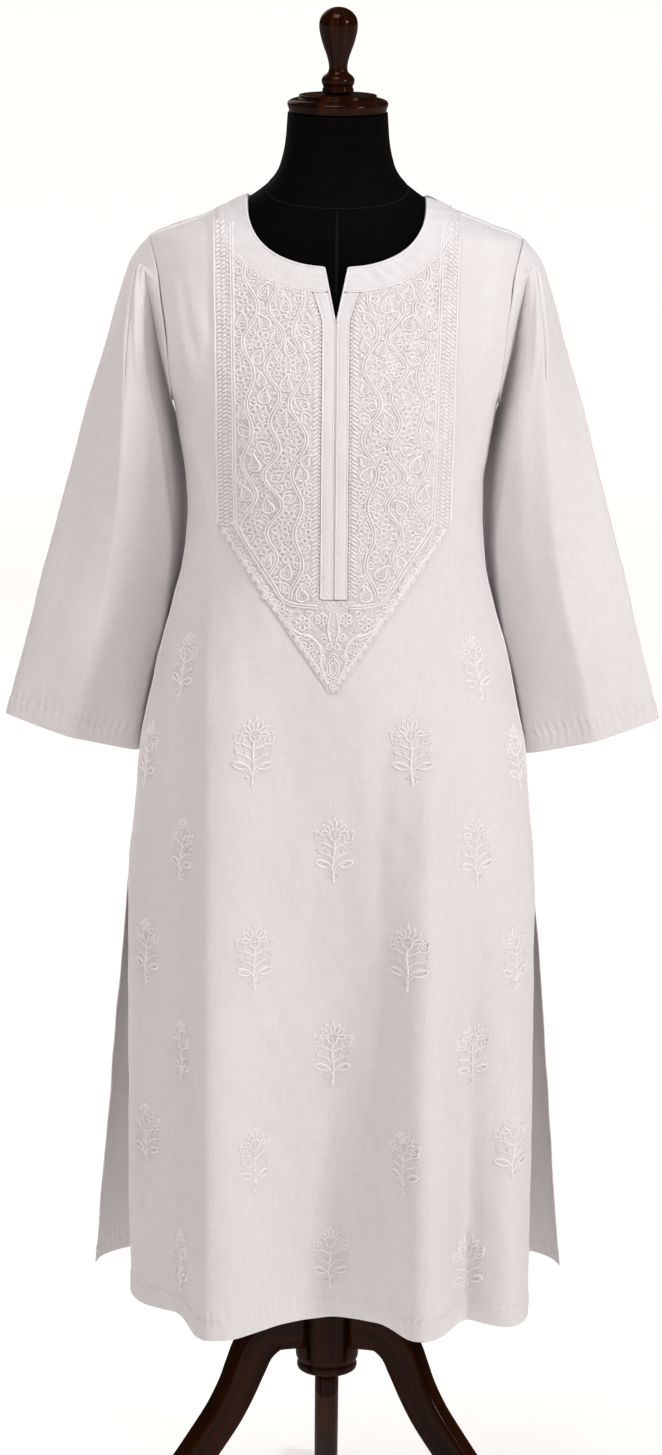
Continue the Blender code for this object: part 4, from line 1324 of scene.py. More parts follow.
def leaf(length, width, rib=True):
    """Outline x = width/2 sin(pi t^0.8) from foot to tip and back, with a rib."""
    t = np.linspace(0, 1, 9)
    bulge = width / 2 * np.sin(math.pi * t ** 0.8)
    outline = np.concatenate([np.stack([-bulge, t * length], -1),
                              np.stack([bulge, t * length], -1)[::-1]])
    lines = [(outline, 0.0012, 0.0009)]
    if rib:
        lines.append((np.array([(0, 0.15 * length), (0, 0.85 * length)]), 0.0010, 0.0007))
    return lines


def filled_leaf(length, width):
    """A leaf in satin stitch: a few slanted stitches side by side."""
    lines = []
    for t in np.linspace(0.16, 0.88, max(3, int(length / 2.5))):
        reach = width / 2 * math.sin(math.pi * t ** 0.8)
        middle = t * length
        lines.append((np.array([(-reach, middle + 0.7), (0, middle - 0.5), (reach, middle + 0.7)]),
                      0.0011, 0.0010))
    return lines


def ring(x, z, radius, width=0.0011, height=0.0008):
    """Closed circle of thread."""
    angle = np.linspace(0, 2 * math.pi, 11)
    return [(np.stack([x + radius * np.sin(angle), z + radius * np.cos(angle)], -1),
             width, height)]


def knot(x, z, lean=0.0):
    """French knot: a stitch as short as it is wide."""
    return [(np.array([(x - 0.7, z - lean), (x + 0.7, z + lean)]), 0.0017, 0.0012)]


def flower(radius, petals, start=0.0):
    """Petals round a ring with a knot in it."""
    lines = ring(0, 0, 0.20 * radius)
    for number in range(petals):
        angle = math.radians(start + 360 * number / petals)
        petal = leaf(0.68 * radius, 0.62 * radius, rib=False)
        foot = 0.32 * radius
        lines += in_millimetres(turned_about(
            petal, 0.001 * foot * math.sin(angle), 0.001 * foot * math.cos(angle),
            math.degrees(angle)))
    return lines


def curl(radius, turns=1.3):
    """Spiral that winds in: radius shrinks by 75 percent over its turns."""
    t = np.linspace(0, 1, 16)
    angle = 2 * math.pi * turns * t
    reach = radius * (1 - 0.75 * t)
    return [(np.stack([radius - reach * np.cos(angle), reach * np.sin(angle)], -1),
             0.0013, 0.0010)]


PAISLEY = ((0.0, -5.0), (4.2, -4.4), (5.6, -0.6), (4.2, 3.4), (1.6, 6.2), (-0.8, 9.4),
           (-4.0, 10.2), (-4.6, 7.6))
PAISLEY_BACK = ((0.0, -5.0), (-4.4, -4.2), (-4.8, 0.0), (-2.8, 3.6), (-1.8, 7.0), (-2.8, 8.4))


def paisley():
    """Drop with a curled tip: two outlines, a smaller drop inside, and knots in it."""
    lines = [curve(PAISLEY, 0.0016, 0.0012), curve(PAISLEY_BACK, 0.0016, 0.0012)]
    small = 0.58 * np.concatenate([PAISLEY[:6], np.array(PAISLEY_BACK[:4])[::-1]])
    lines.append(curve(small, 0.0011, 0.0008))
    for x, z in ((0.2, -1.6), (-0.8, 1.0), (1.6, 0.6)):
        lines += knot(x, z)
    return lines


print("motif lines", {"flower": len(flower(6.0, 7)), "paisley": len(paisley()),
                      "leaf": len(leaf(7.0, 4.0))})

# %% [markdown]
# ## The bib's embroidery
#
# Both halves follow one plan. Double vines wave down the field in columns. The hollows that
# they leave are filled from the largest down: flowers and paisleys first, then leaves and
# curls. Seed stitches cover the ground that stays free. Borders of slanted stitches run along
# the outer edges and beside the placket, and a border of leaves follows the point.

# %% Field of the bib
# Middle of each double vine, its wavelength, sway and phase
VINES = ((0.0350, 0.064, 0.0060, 0.4), (0.0590, 0.053, 0.0066, 2.7), (0.0830, 0.060, 0.0052, 5.1))
# A slower wave on top of each vine's own
DRIFT_WAVE = 0.087
DRIFT = 0.0027
# Edges of the field: from the placket, from the outer edge, its top and its sloping foot
FIELD_TOP_Z = 1.395
FIELD_INNER = 0.0245
FIELD_MARGIN = 0.0215
FIELD_FOOT_X = 0.0565
FIELD_FOOT_Z = 1.0370
FIELD_FOOT_SLOPE = 1.54
# Smallest and largest circle that a motif fills
LEAST_HOLLOW = 0.0022
MOST_HOLLOW = 0.0078
# Seed stitches: their pitch, jitter and half length, and the cells that keep them apart
SEED_PITCH = 0.0031
SEED_JITTER = 0.0006
SEED_REACH = 0.0012
CELL = 0.0010
CELLS = (160, 480)
CELLS_LOW_Z = 0.93


def in_field(x, z):
    """Inside the vine field: between both borders, below the band and above the point."""
    x = np.abs(x)
    below_band = np.hypot(x / BAND_HALF, (NECK_POINT_Z - z) / BAND_DROP) > 1.03
    foot = FIELD_FOOT_Z + FIELD_FOOT_SLOPE * np.clip(x - FIELD_FOOT_X, 0, None)
    return (below_band & (x > FIELD_INNER) & (x < yoke_outer(z) - FIELD_MARGIN)
            & (z > foot) & (z < FIELD_TOP_Z))


def kept(points):
    """Runs of a line that lie in the field."""
    inside = in_field(points[:, 0], points[:, 1])
    cuts = np.flatnonzero(np.diff(inside.astype(int))) + 1
    return [run for run in np.split(points, cuts) if len(run) > 3 and in_field(*run[1])]


def vine_x(number, z):
    """Vine's distance from the middle: its own wave, and a slower one on top."""
    middle, wave, sway, phase = VINES[number]
    return (middle + sway * np.sin(2 * math.pi * z / wave + phase)
            + DRIFT * np.sin(2 * math.pi * z / DRIFT_WAVE + 2 * phase))


def vines():
    """Double lines of all vines, for the half with x > 0."""
    z = np.arange(1.39, 1.03, -0.0012)
    stitches = []
    for number in range(len(VINES)):
        for offset in (-0.0012, 0.0013):
            line = line_of(vine_x(number, z) + offset, z)
            stitches += [(run, 0.0014, 0.0013) for run in kept(line)]
    return stitches


def hollows(taken, least, most):
    """Circles that fill the field, largest first: each is centred on the spot that is
    farthest from all threads and from the circles before it."""
    x, z = np.meshgrid(np.arange(0.022, 0.100, 0.0015), np.arange(1.030, FIELD_TOP_Z, 0.0015))
    spots = np.stack([x.ravel(), z.ravel()], -1)
    spots = spots[in_field(spots[:, 0], spots[:, 1])]
    free = np.full(len(spots), 1.0)
    for part in np.array_split(taken, 60):
        gaps = np.linalg.norm(spots[:, None] - part[None], axis=-1)
        free = np.minimum(free, gaps.min(axis=1))
    found = []
    while free.max() > least:
        best = int(np.argmax(free))
        reach = min(float(free[best]), most)
        found.append((float(spots[best, 0]), float(spots[best, 1]), reach))
        free = np.minimum(free, np.linalg.norm(spots - spots[best], axis=1) - reach)
    return found


def motif_for(reach, number, chance):
    """Motif that fills a circle, and its turn: flowers and paisleys in large circles, leaves
    and curls in small ones."""
    size = reach * 1000
    side = 1.0 if number % 2 else -1.0
    if size > 5.4:
        if number % 5 < 2:
            return flower(size + 1.2, 6, chance.uniform(0, 50)), 0.0
        if number % 5 < 4:
            lines = [(points * [side * size / 7.2, size / 7.2], width, height)
                     for points, width, height in paisley()]
            return moved(lines, 0, -0.15 * size), chance.uniform(-30, 30)
    if size > 4.6:
        lines = leaf(2.1 * size, 1.5 * size) + leaf(1.3 * size, 0.8 * size, rib=False)
        return moved(lines, 0, -size), chance.uniform(-75, 75)
    if size > 3.6:
        lines = filled_leaf(2.1 * size, 1.25 * size) + leaf(2.1 * size, 1.5 * size, rib=False)
        return moved(lines, 0, -size), chance.uniform(-75, 75)
    if number % 3 == 0:
        return moved(curl(0.62 * size), -0.5 * size, 0), chance.uniform(0, 360)
    return moved(filled_leaf(2.3 * size, 1.3 * size), 0, -1.1 * size), chance.uniform(-80, 80)


def vine_field(borders, chance):
    """Vines, and a motif in every hollow that they and the borders leave."""
    stitches = vines()
    taken = np.concatenate([resampled(points) for points, _, _ in stitches + borders])
    for number, (x, z, reach) in enumerate(hollows(taken, LEAST_HOLLOW, MOST_HOLLOW)):
        motif, degrees = motif_for(reach, number, chance)
        stitches += turned_about(motif, x, z, degrees)
    return stitches


def seed_fill(stitches, chance):
    """Short stitches on a jittered grid, where no other thread passes within a cell."""
    taken = np.concatenate([resampled(points) for points, _, _ in stitches])
    mask = np.zeros(CELLS, bool)
    column_of = np.clip((taken[:, 0] / CELL).astype(int), 1, CELLS[0] - 2)
    row_of = np.clip(((taken[:, 1] - CELLS_LOW_Z) / CELL).astype(int), 1, CELLS[1] - 2)
    for right in (-1, 0, 1):
        for up in (-1, 0, 1):
            mask[column_of + right, row_of + up] = True
    x, z = np.meshgrid(np.arange(0.002, 0.118, SEED_PITCH),
                       np.arange(0.95, FIELD_TOP_Z, SEED_PITCH))
    x = (x + chance.normal(0, SEED_JITTER, x.shape)).ravel()
    z = (z + chance.normal(0, SEED_JITTER, z.shape)).ravel()
    column_at = np.clip((x / CELL).astype(int), 0, CELLS[0] - 1)
    row_at = np.clip(((z - CELLS_LOW_Z) / CELL).astype(int), 0, CELLS[1] - 1)
    free = ~mask[column_at, row_at] & in_field(x, z)
    lean = chance.uniform(0, math.pi, free.sum())
    reach = SEED_REACH * np.stack([np.cos(lean), np.sin(lean)], -1)
    centre = np.stack([x[free], z[free]], -1)
    return [(np.stack([middle - half, middle + half]), 0.0012, 0.0008)
            for middle, half in zip(centre, reach)]


# %% Borders of the bib
def slanted_row(path, reach, pitch, lean, width=0.0015, height=0.0010):
    """Slanted stitches along a path: each crosses it by reach both ways, leaning forward."""
    run = run_of(path)
    at = np.arange(pitch / 2, run[-1], pitch)
    middle = read_line(path, run, at)
    ahead = read_line(path, run, at + 0.001) - middle
    ahead /= np.maximum(np.linalg.norm(ahead, axis=1, keepdims=True), 1e-9)
    aside = np.stack([-ahead[:, 1], ahead[:, 0]], -1)
    half = reach * aside + lean * ahead
    return [(np.stack([point - part, point + part]), width, height)
            for point, part in zip(middle, half)]


def side_border():
    """Outer border: a line, three rows of slanted stitches and a double line."""
    z = np.linspace(FIELD_TOP_Z, 1.104, 60)
    edge = yoke_outer(z)
    stitches = [(line_of(edge - inset, z), width, height) for inset, width, height in (
        (0.0012, 0.0015, 0.0011), (0.0168, 0.0012, 0.0010), (0.0192, 0.0012, 0.0010))]
    for inset, reach, pitch, lean in ((0.0043, 0.0021, 0.0040, 0.0014),
                                      (0.0094, 0.0023, 0.0040, 0.0014),
                                      (0.0139, 0.0013, 0.0042, -0.0008)):
        stitches += slanted_row(line_of(edge - inset, z), reach, pitch, lean)
    return stitches


def placket_border():
    """Inner border beside the placket: a row of knots, and one of slanted leaves."""
    z = np.linspace(NECK_POINT_Z - BAND_DROP - 0.008, 1.041, 70)
    edge = strip_outer(z)
    knots = slanted_row(line_of(edge + 0.0020, z), 0.0008, 0.0038, 0.0004, 0.0019, 0.0012)
    return knots + slanted_row(line_of(edge + 0.0066, z), 0.0028, 0.0042, 0.0019)


def neck_border():
    """Small slanted stitches just below the neck band."""
    start = shoulder_start(BAND_HALF + 0.002, BAND_DROP + 0.002)
    x, z = oval(BAND_HALF + 0.0028, BAND_DROP + 0.0028,
                eased(start + 0.16, oval_end(BAND_HALF, 0.026), 60))
    return slanted_row(line_of(x, z), 0.0012, 0.0030, 0.0007)


def point_border():
    """Along the point: scalloped leaves outside, a knotted line, leaves and a double line."""
    edge = np.array([(YOKE_EDGE[1, 1] - 0.001, YOKE_CORNER_Z), (0.0045, YOKE_TIP_Z + 0.001)])
    along = (edge[1] - edge[0]) / np.linalg.norm(edge[1] - edge[0])
    inward = np.array([-along[1], along[0]])
    inward = inward if inward[1] > 0 else -inward
    length = float(np.linalg.norm(edge[1] - edge[0]))
    down = math.degrees(math.atan2(along[0], along[1]))
    stitches = []
    for run in np.arange(0.004, length - 0.002, 0.0072):
        x, z = edge[0] + along * run + inward * 0.0034
        stitches += turned_about(filled_leaf(6.4, 4.6), x, z, down + 62)
        stitches += turned_about(leaf(6.8, 5.0, rib=False), x, z, down + 62)
    for run in np.arange(0.002, length - 0.012, 0.0088):
        spot = edge[0] + along * run + inward * 0.0058
        stitches += turned_about(leaf(6.2, 3.4), *spot, down - 38)
        stitches += turned_about(knot(0, 0), *(spot + inward * 0.0064 + along * 0.004))
    stitches.append((np.stack([edge[0] + inward * 0.0050, edge[1] + inward * 0.0050
                               - along * 0.006]), 0.0013, 0.0010))
    for gap in (0.0, 0.0023):
        line = np.array([(0.0985 - gap, 1.1090 + gap), (0.0760 - gap, 1.0740 + gap),
                         (0.0585 - gap, 1.0480 + gap), (0.0500, 1.0345 + gap),
                         (0.0380, 1.0300 + gap), (0.0150, 1.0290 + gap)])
        stitches.append(curve(line, 0.0013, 0.0011))
    return stitches


MEDALLION_Z = 0.9700


def point_motifs():
    """Inside the point: curved sprays, flowers and the half of a small oval medallion."""
    stitches = []
    for x, z, radius in ((0.0300, 1.0140, 7.6), (0.0530, 1.0290, 6.2), (0.0115, 1.0180, 6.4),
                         (0.0180, 0.9900, 6.2)):
        stitches += turned_about(flower(radius, 6), x, z)
    for x, z, degrees, long in ((0.0410, 1.0190, 130, 8.5), (0.0400, 1.0220, 60, 8.0),
                                (0.0200, 1.0230, 80, 7.5), (0.0215, 1.0020, 115, 8.0),
                                (0.0640, 1.0440, 45, 8.0), (0.0620, 1.0400, 110, 7.5),
                                (0.0075, 0.9960, 20, 8.5), (0.0090, 0.9830, 130, 7.0),
                                (0.0045, 0.9880, -15, 7.0), (0.0690, 1.0560, 100, 7.0)):
        stitches += turned_about(filled_leaf(long, 4.6), x, z, degrees)
        stitches += turned_about(leaf(long, 5.2, rib=False), x, z, degrees)
    stitches.append(curve([(0.0060, 0.9600), (0.0130, 0.9740), (0.0105, 0.9890),
                           (0.0200, 1.0010), (0.0360, 1.0040), (0.0460, 1.0170)],
                          0.0016, 0.0012))
    stitches.append(curve([(0.0030, 1.0250), (0.0060, 1.0080), (0.0025, 0.9960)],
                          0.0014, 0.0011))
    return stitches


def medallion():
    """Double oval with knots, a small crown of leaves and a last leaf at the tip."""
    angle = np.linspace(0, 2 * math.pi, 25)
    stitches = []
    for wide, high in ((0.0058, 0.0092), (0.0034, 0.0062)):
        oval_line = np.stack([wide * np.sin(angle), MEDALLION_Z + high * np.cos(angle)], -1)
        stitches.append((oval_line, 0.0013, 0.0011))
    for z in (-0.0030, 0.0, 0.0030):
        stitches += turned_about(knot(0, 0), 0.0, MEDALLION_Z + z)
    for degrees in (-70, -38, 0, 38, 70):
        stitches += turned_about(filled_leaf(7.5, 3.6), 0.0, MEDALLION_Z + 0.0105, degrees)
    stitches += turned_about(filled_leaf(8.0, 4.5), 0.0, 0.9590, 180)
    for z in np.arange(1.034, 0.998, -0.0045):
        stitches += turned_about(knot(0, 0), 0.0, float(z))
    return stitches


# %% Sew the bib
THREAD_SEED = 11


def mirrored(stitches, side):
    """Stitches as drawn for side 1, and on the other half for side -1."""
    return [(points * [side, 1], width, height) for points, width, height in stitches]


def both_halves(stitches):
    """Stitches as drawn and on the other half."""
    return mirrored(stitches, 1) + mirrored(stitches, -1)


def make_bib_threads():
    """Borders and point in one piece, and the vine field of each half in one."""
    chance = np.random.default_rng(THREAD_SEED)
    half = side_border() + placket_border() + neck_border() + point_border() + point_motifs()
    both = both_halves(half) + medallion()
    thread_piece("bib_borders", both, bib_chart, YOKE_LIFT)
    for side, word in SIDES:
        field = vine_field(half, chance)
        field += seed_fill(field, chance)
        thread_piece("bib_vines_" + word, mirrored(field, side), bib_chart, YOKE_LIFT)
    return len(both), len(field)


print("stitches in the borders and in one field", make_bib_threads())

# %% [markdown]
# ## Flower sprays on the skirt
#
# Twenty-three sprays stand on a diagonal lattice. Each is drawn once, as lines in
# millimetres, and carried to its place by distance along the cloth, so that the ones near
# the sides wrap round with it.

# %% The spray
STEM = ((0.0, -35.0), (1.0, -27.0), (1.5, -15.0), (0.5, -8.0), (-0.5, 0.0), (0.0, 9.0))
BASE_LEAF = ((0.5, -24.0), (-4.0, -15.0), (-13.0, -10.4), (-19.5, -12.6), (-14.0, -17.2),
             (-8.0, -18.4), (-4.6, -16.4))
SIDE_STALK = ((0.0, 1.0), (-5.0, 4.0), (-9.0, 5.0), (-12.0, 8.5))
SPRIG = ((0.8, -12.0), (-4.5, -6.5), (-9.5, -4.0), (-13.0, -3.5))
CUP = ((-4.4, 17.0), (-5.0, 12.5), (-2.5, 9.4), (0.0, 9.0), (2.5, 9.4), (5.0, 12.5), (4.4, 17.0))
PETAL_TURNS = (-74, -48, -24, 0, 24, 48, 74)
PETAL_LONG = (9.5, 11.5, 12.5, 13.5, 12.5, 11.5, 9.5)


def bud():
    """Half-open bud: outline with slanted stitches in it."""
    lines = leaf(12.0, 8.4, rib=False)
    for x in (-2.2, 0.0, 2.2):
        lines.append((np.array([(0.4 * x, 2.6), (x, 8.6)]), 0.0011, 0.0008))
    return lines + [(np.array([(-3.0, 11.4), (0.0, 14.0), (3.0, 11.4)]), 0.0012, 0.0009)]


def spray():
    """One spray as lines in millimetres, centred on its own middle."""
    lines = [curve(STEM, 0.0017, 0.0012), curve(CUP, 0.0014, 0.0011)]
    parts = []
    for side in (-1, 1):
        flip = np.array([-side, 1])
        lines.append(curve(BASE_LEAF * flip, 0.0015, 0.0012))
        lines.append(curve(np.array(BASE_LEAF)[[0, 2, 3]] * flip * [0.86, 1.06], 0.0010, 0.0007))
        lines.append(curve(SIDE_STALK * flip, 0.0013, 0.0010))
        lines.append(curve(SPRIG * flip, 0.0012, 0.0009))
        parts += turned_about(bud(), side * 0.0112, 0.0068, 34 * side)
        parts += turned_about(filled_leaf(5.5, 3.2), side * 0.0130, -0.0035, 62 * side)
        parts += turned_about(filled_leaf(5.0, 3.0), side * 0.0075, -0.0050, 5 * side)
        parts += turned_about(filled_leaf(4.6, 3.0), side * 0.0025, -0.0270, 75 * side)
        for x, z in ((17.0, 2.5), (15.5, -6.5), (4.6, -20.0), (9.5, 3.0)):
            lines += knot(side * x, z, 0.4)
    for degrees, long in zip(PETAL_TURNS, PETAL_LONG):
        angle = math.radians(degrees)
        parts += turned_about(leaf(long, 3.9, rib=False), 0.0052 * math.sin(angle),
                              0.0140 + 0.0052 * math.cos(angle), degrees)
    parts += turned_about(filled_leaf(6.5, 4.4), 0.0, 0.0110, 0)
    parts += turned_about(ring(0, 0, 1.7), -0.0018, -0.0305)
    parts += turned_about(knot(0, 0), 0.0, 0.0335)
    return lines + in_millimetres(parts)


print("lines in a spray", len(spray()))

# %% Sprays on the skirt
# x on the front and heights of the middles of each upright row of sprays
SPRAY_ROWS = (
    (0.0027, (0.789, 0.580, 0.366)), (-0.077, (0.888, 0.684, 0.478)),
    (0.077, (0.888, 0.684, 0.478)), (-0.144, (0.9625, 0.783, 0.5765, 0.3593)),
    (0.140, (0.9625, 0.783, 0.5765, 0.3593)), (-0.183, (0.865, 0.670, 0.480)),
    (0.183, (0.865, 0.670, 0.480)),
)


def make_sprays():
    """All sprays in one piece: turn = turn of the middle + distance / speed of the turn."""
    spots = np.array([(x, z) for x, heights in SPRAY_ROWS for z in heights])
    turn = turn_at(spots[:, 0], spots[:, 1], front_half)
    ahead = front_points(turn + SLOPE_TURN, spots[:, 1]) - front_points(
        turn - SLOPE_TURN, spots[:, 1])
    speed = np.linalg.norm(ahead, axis=1) / (2 * SLOPE_TURN)
    drawn = spray()
    stitches = []
    for number in range(len(spots)):
        flip = 1 if number % 2 else -1
        stitches += [(points * [0.001 * flip, 0.001], width, height)
                     for points, width, height in drawn]

    def chart(flat, owner, lift):
        """Distances from each spray's middle, laid on the front."""
        spot = owner // len(drawn)
        z = spots[spot, 1] + flat[..., 1]
        return front(turn[spot] + flat[..., 0] / speed[spot], z, lift)

    thread_piece("skirt_sprays", stitches, chart, 0.0)
    return len(spots)


print("sprays", make_sprays())

# %% [markdown]
# ## Seams and stitching
#
# Every seam shows as a fine raised line, and topstitching as a row of short dashes beside it.
# They use the same ridges as the embroidery, only finer, and the same thread colour, which is
# lighter than the cloth as painted highlight. The rolled edge of the neckline is the brightest
# line of all.

# %% Lines on the front and back
def dashes(path, pitch=0.0036, length=0.0024, width=0.0009, height=0.0004):
    """Row of short stitches along a path."""
    run = run_of(path)
    starts = np.arange(0.001, run[-1] - length, pitch)
    ends = read_line(path, run, line_of(starts, starts + length))
    return [(pair, width, height) for pair in ends]


def back_chart(flat, owner, lift):
    """Chart of the back: x and z are those of the frame."""
    x, z = flat[..., 0], flat[..., 1]
    return back(turn_at(x, z, back_half), z, lift)


def neck_curve(widen, drop=BAND_DROP, half=BAND_HALF, end_x=0.0):
    """Curve beside an edge of the front band, from the shoulder in to end_x."""
    start = shoulder_start(half + widen, drop + widen)
    end = oval_end(half + widen, end_x) if end_x else math.pi / 2
    return line_of(*oval(half + widen, drop + widen, eased(start, end, 90)))


def make_neck_lines():
    """Rolled neck edge, band seams and placket edges, on trim height."""
    top = NECK_POINT_Z - NECK_DROP
    half = [(neck_curve(0.0007, NECK_DROP, NECK_HALF, NOTCH_HALF + 0.0007), 0.0022, 0.0010),
            (np.array([(NOTCH_HALF + 0.0007, top), (0.0008, NOTCH_TIP_Z - 0.0008)]),
             0.0020, 0.0009),
            (neck_curve(0.0003, end_x=0.0100), 0.0017, 0.0005)]
    half += dashes(neck_curve(-0.0022, end_x=0.0115))
    z = np.linspace(NOTCH_TIP_Z - 0.001, STRIP_END_Z + 0.0006, 60)
    outer_z = np.linspace(NECK_POINT_Z - BAND_DROP, STRIP_END_Z, 60)
    half.append((line_of(strip_outer(outer_z) - 0.0002, outer_z), 0.0017, 0.0005))
    half.append((line_of(0.0017, z), 0.0012, 0.0004))
    half += dashes(line_of(strip_outer(outer_z) - 0.0024, outer_z))
    half += dashes(line_of(0.0034, z))
    half.append((np.array([(0.0012, STRIP_END_Z + 0.0004), (0.0124, STRIP_END_Z + 0.0004)]),
                 0.0016, 0.0006))
    for height in (1.3040, 1.3012):
        half += dashes(np.array([(0.0012, height), (0.0118, height)]), 0.0026, 0.0019)
    thread_piece("neck_and_placket_lines", both_halves(half), bib_chart, TRIM_LIFT - 0.0003,
                 sewn=True)


def side_line(low, high, half, inset=0.0):
    """Points along a panel's side edge between two heights, moved in by inset."""
    z = np.linspace(low, high, 120)
    return line_of(half(z) * np.cos(inset / (ARC_SHARE * half(z))), z)


def make_body_lines():
    """Shoulder and side seams, and the stitched hems of the front and the back."""
    hem_line_z = HEM_Z + HEM_WIDTH
    half = [(side_line(SHOULDER_TIP_Z, NECK_POINT_Z - 0.003, front_half), 0.0016, 0.0007),
            (side_line(SLIT_TOP_Z, UNDERARM_Z, front_half), 0.0016, 0.0006)]
    half += dashes(side_line(hem_line_z, SLIT_TOP_Z, front_half, SLIT_HEM_WIDTH))
    half += dashes(line_of(np.linspace(0.0, 0.196, 80), hem_line_z))
    thread_piece("front_seam_lines", both_halves(half), bib_chart, 0.0, sewn=True)
    half = [(neck_curve(0.0003, BACK_BAND_DROP), 0.0017, 0.0005),
            (neck_curve(0.0007, BACK_NECK_DROP, NECK_HALF), 0.0020, 0.0009)]
    half = [(points, width, height + TRIM_LIFT) for points, width, height in half]
    half += dashes(side_line(hem_line_z, SLIT_TOP_Z, back_half, SLIT_HEM_WIDTH))
    half += dashes(line_of(np.linspace(0.0, 0.234, 90), hem_line_z))
    thread_piece("back_seam_lines", both_halves(half), back_chart, 0.0, sewn=True)


make_neck_lines()
make_body_lines()
print("sewn pieces on the body", [name for name in PIECES if name.endswith("_lines")])


# %% Lines on the sleeves
SLEEVE_BAND = 0.0092


def make_sleeve_lines():
    """Armhole seam and its band, and the stitches of the cuff hem, on both sleeves."""
    rows, columns = sleeve_points.shape[:2]
    along = lengths(sleeve_points, axis=0).mean(axis=1)
    hem = along[-1] - SLEEVE_HEM
    u = np.linspace(0, SLEEVE_ROUND, 240)
    stitches = [(line_of(u, 0.0010), 0.0015, 0.0007),
                (line_of(u, SLEEVE_BAND), 0.0016, 0.0006)]
    stitches += dashes(line_of(u, SLEEVE_BAND - 0.0022)) + dashes(line_of(u, hem))
    for side, word in SIDES:
        def chart(flat, owner, lift):
            """Distance round and along, read between the sleeve's own points."""
            at = flat[..., 0] / SLEEVE_ROUND * columns
            down = np.interp(flat[..., 1], along, np.arange(rows))
            j, i = np.floor(at).astype(int), np.minimum(down.astype(int), rows - 2)
            s, t = (at - j)[..., None], (down - i)[..., None]
            out = 0
            for right, share in ((0, 1 - s), (1, s)):
                for below, part in ((0, 1 - t), (1, t)):
                    spot = (i + below, (j + right) % columns)
                    out = out + share * part * (sleeve_points[spot]
                                                + lift[..., None] * sleeve_normals[spot])
            return out * np.array([side, 1, 1])
        drawn = stitches if side > 0 else [(points[::-1], width, height)
                                           for points, width, height in stitches]
        thread_piece("sleeve_lines_" + word, drawn, chart, 0.0, sewn=True)


make_sleeve_lines()
print("armhole band", round(SLEEVE_BAND * 1000, 1), "mm wide on both sleeves")

# %% [markdown]
# ## Dress form
#
# The form is a padded torso and neck under black jersey, sewn from panels. Its sections use
# the same squared oval as the kurta. Fine seams run down its middle and round the base of its
# neck, and they are laid on as thin ridges, coloured a little lighter than the cover as painted
# highlight.

# %% Form torso
# Height, half width, front depth, back depth
FORM_LEVELS = (
    (0.770, 0.1400, 0.0980, 0.1080), (0.785, 0.1600, 0.1120, 0.1200),
    (0.830, 0.1720, 0.1170, 0.1240), (0.880, 0.1720, 0.1180, 0.1230),
    (0.930, 0.1630, 0.1160, 0.1180), (0.985, 0.1480, 0.1110, 0.1080),
    (1.050, 0.1340, 0.1070, 0.0950), (1.106, 0.1290, 0.1080, 0.0890),
    (1.160, 0.1340, 0.1160, 0.0930), (1.205, 0.1410, 0.1200, 0.0990),
    (1.240, 0.1480, 0.1150, 0.1040), (1.280, 0.1560, 0.1040, 0.1040),
    (1.320, 0.1630, 0.0900, 0.0990), (1.345, 0.1660, 0.0815, 0.0920),
    (1.362, 0.1680, 0.0760, 0.0850), (1.374, 0.1650, 0.0715, 0.0790),
    (1.3845, 0.1543, 0.0690, 0.0735), (1.395, 0.1290, 0.0660, 0.0680),
    (1.405, 0.1055, 0.0625, 0.0615), (1.4150, 0.0848, 0.0590, 0.0565),
    (1.4218, 0.0752, 0.0570, 0.0540), (1.4300, 0.0658, 0.0550, 0.0530),
    (1.4450, 0.0565, 0.0525, 0.0520), (1.4700, 0.0510, 0.0500, 0.0500),
    (1.4970, 0.0490, 0.0490, 0.0490),
)
FORM_FOOT_Z = FORM_LEVELS[0][0]
FORM_TOP_Z, FORM_TOP_HALF = FORM_LEVELS[-1][:2]
# Seams: width and height of their ridge, ends of the centre seams, middle of the neck seam
# with its dip and its curl, and the reach from the axis that its chart is drawn for
FORM_SEAM = (0.0016, 0.0005)
CENTRE_SEAM = (1.33, 1.4080)
NECK_SEAM = (1.4270, 0.0150, 0.0020)
NECK_REACH = 0.1


def form_points(angle, z):
    """x = half |sin|^(2/n), y = -depth |cos|^(2/n), both with their signs."""
    power = 2 / SQUARENESS
    depth = np.where(np.cos(angle) > 0, column(z, FORM_LEVELS, 2), column(z, FORM_LEVELS, 3))
    x = column(z, FORM_LEVELS, 1) * np.sign(np.sin(angle)) * np.abs(np.sin(angle)) ** power
    y = -depth * np.sign(np.cos(angle)) * np.abs(np.cos(angle)) ** power
    return np.stack([x, AXIS_Y + y, z + 0 * angle], axis=-1)


def make_form():
    """Closed loft of level sections, closest where the shoulder turns into the neck."""
    z = np.concatenate([
        np.linspace(FORM_TOP_Z, 1.4400, 16), np.linspace(1.4400, 1.3600, 50)[1:],
        np.linspace(1.3600, 0.7850, 80)[1:], np.linspace(0.7850, FORM_FOOT_Z, 6)[1:]])
    angle = np.linspace(0, 2 * math.pi, 97)[:-1]
    grid = form_points(angle[None, :], z[:, None])
    mesh = grid_mesh("form_torso", [grid], closed=True, capped=True)
    piece(mesh, "cover", ["form_body"])


def form_chart(flat, owner, lift):
    """Chart of the form: distance round its neck and height, lifted straight outward."""
    points = form_points(flat[..., 0] / NECK_REACH, flat[..., 1])
    away = points - np.array([0, AXIS_Y, 0])
    away[..., 2] = 0
    away /= np.linalg.norm(away, axis=-1, keepdims=True)
    return points + lift[..., None] * away


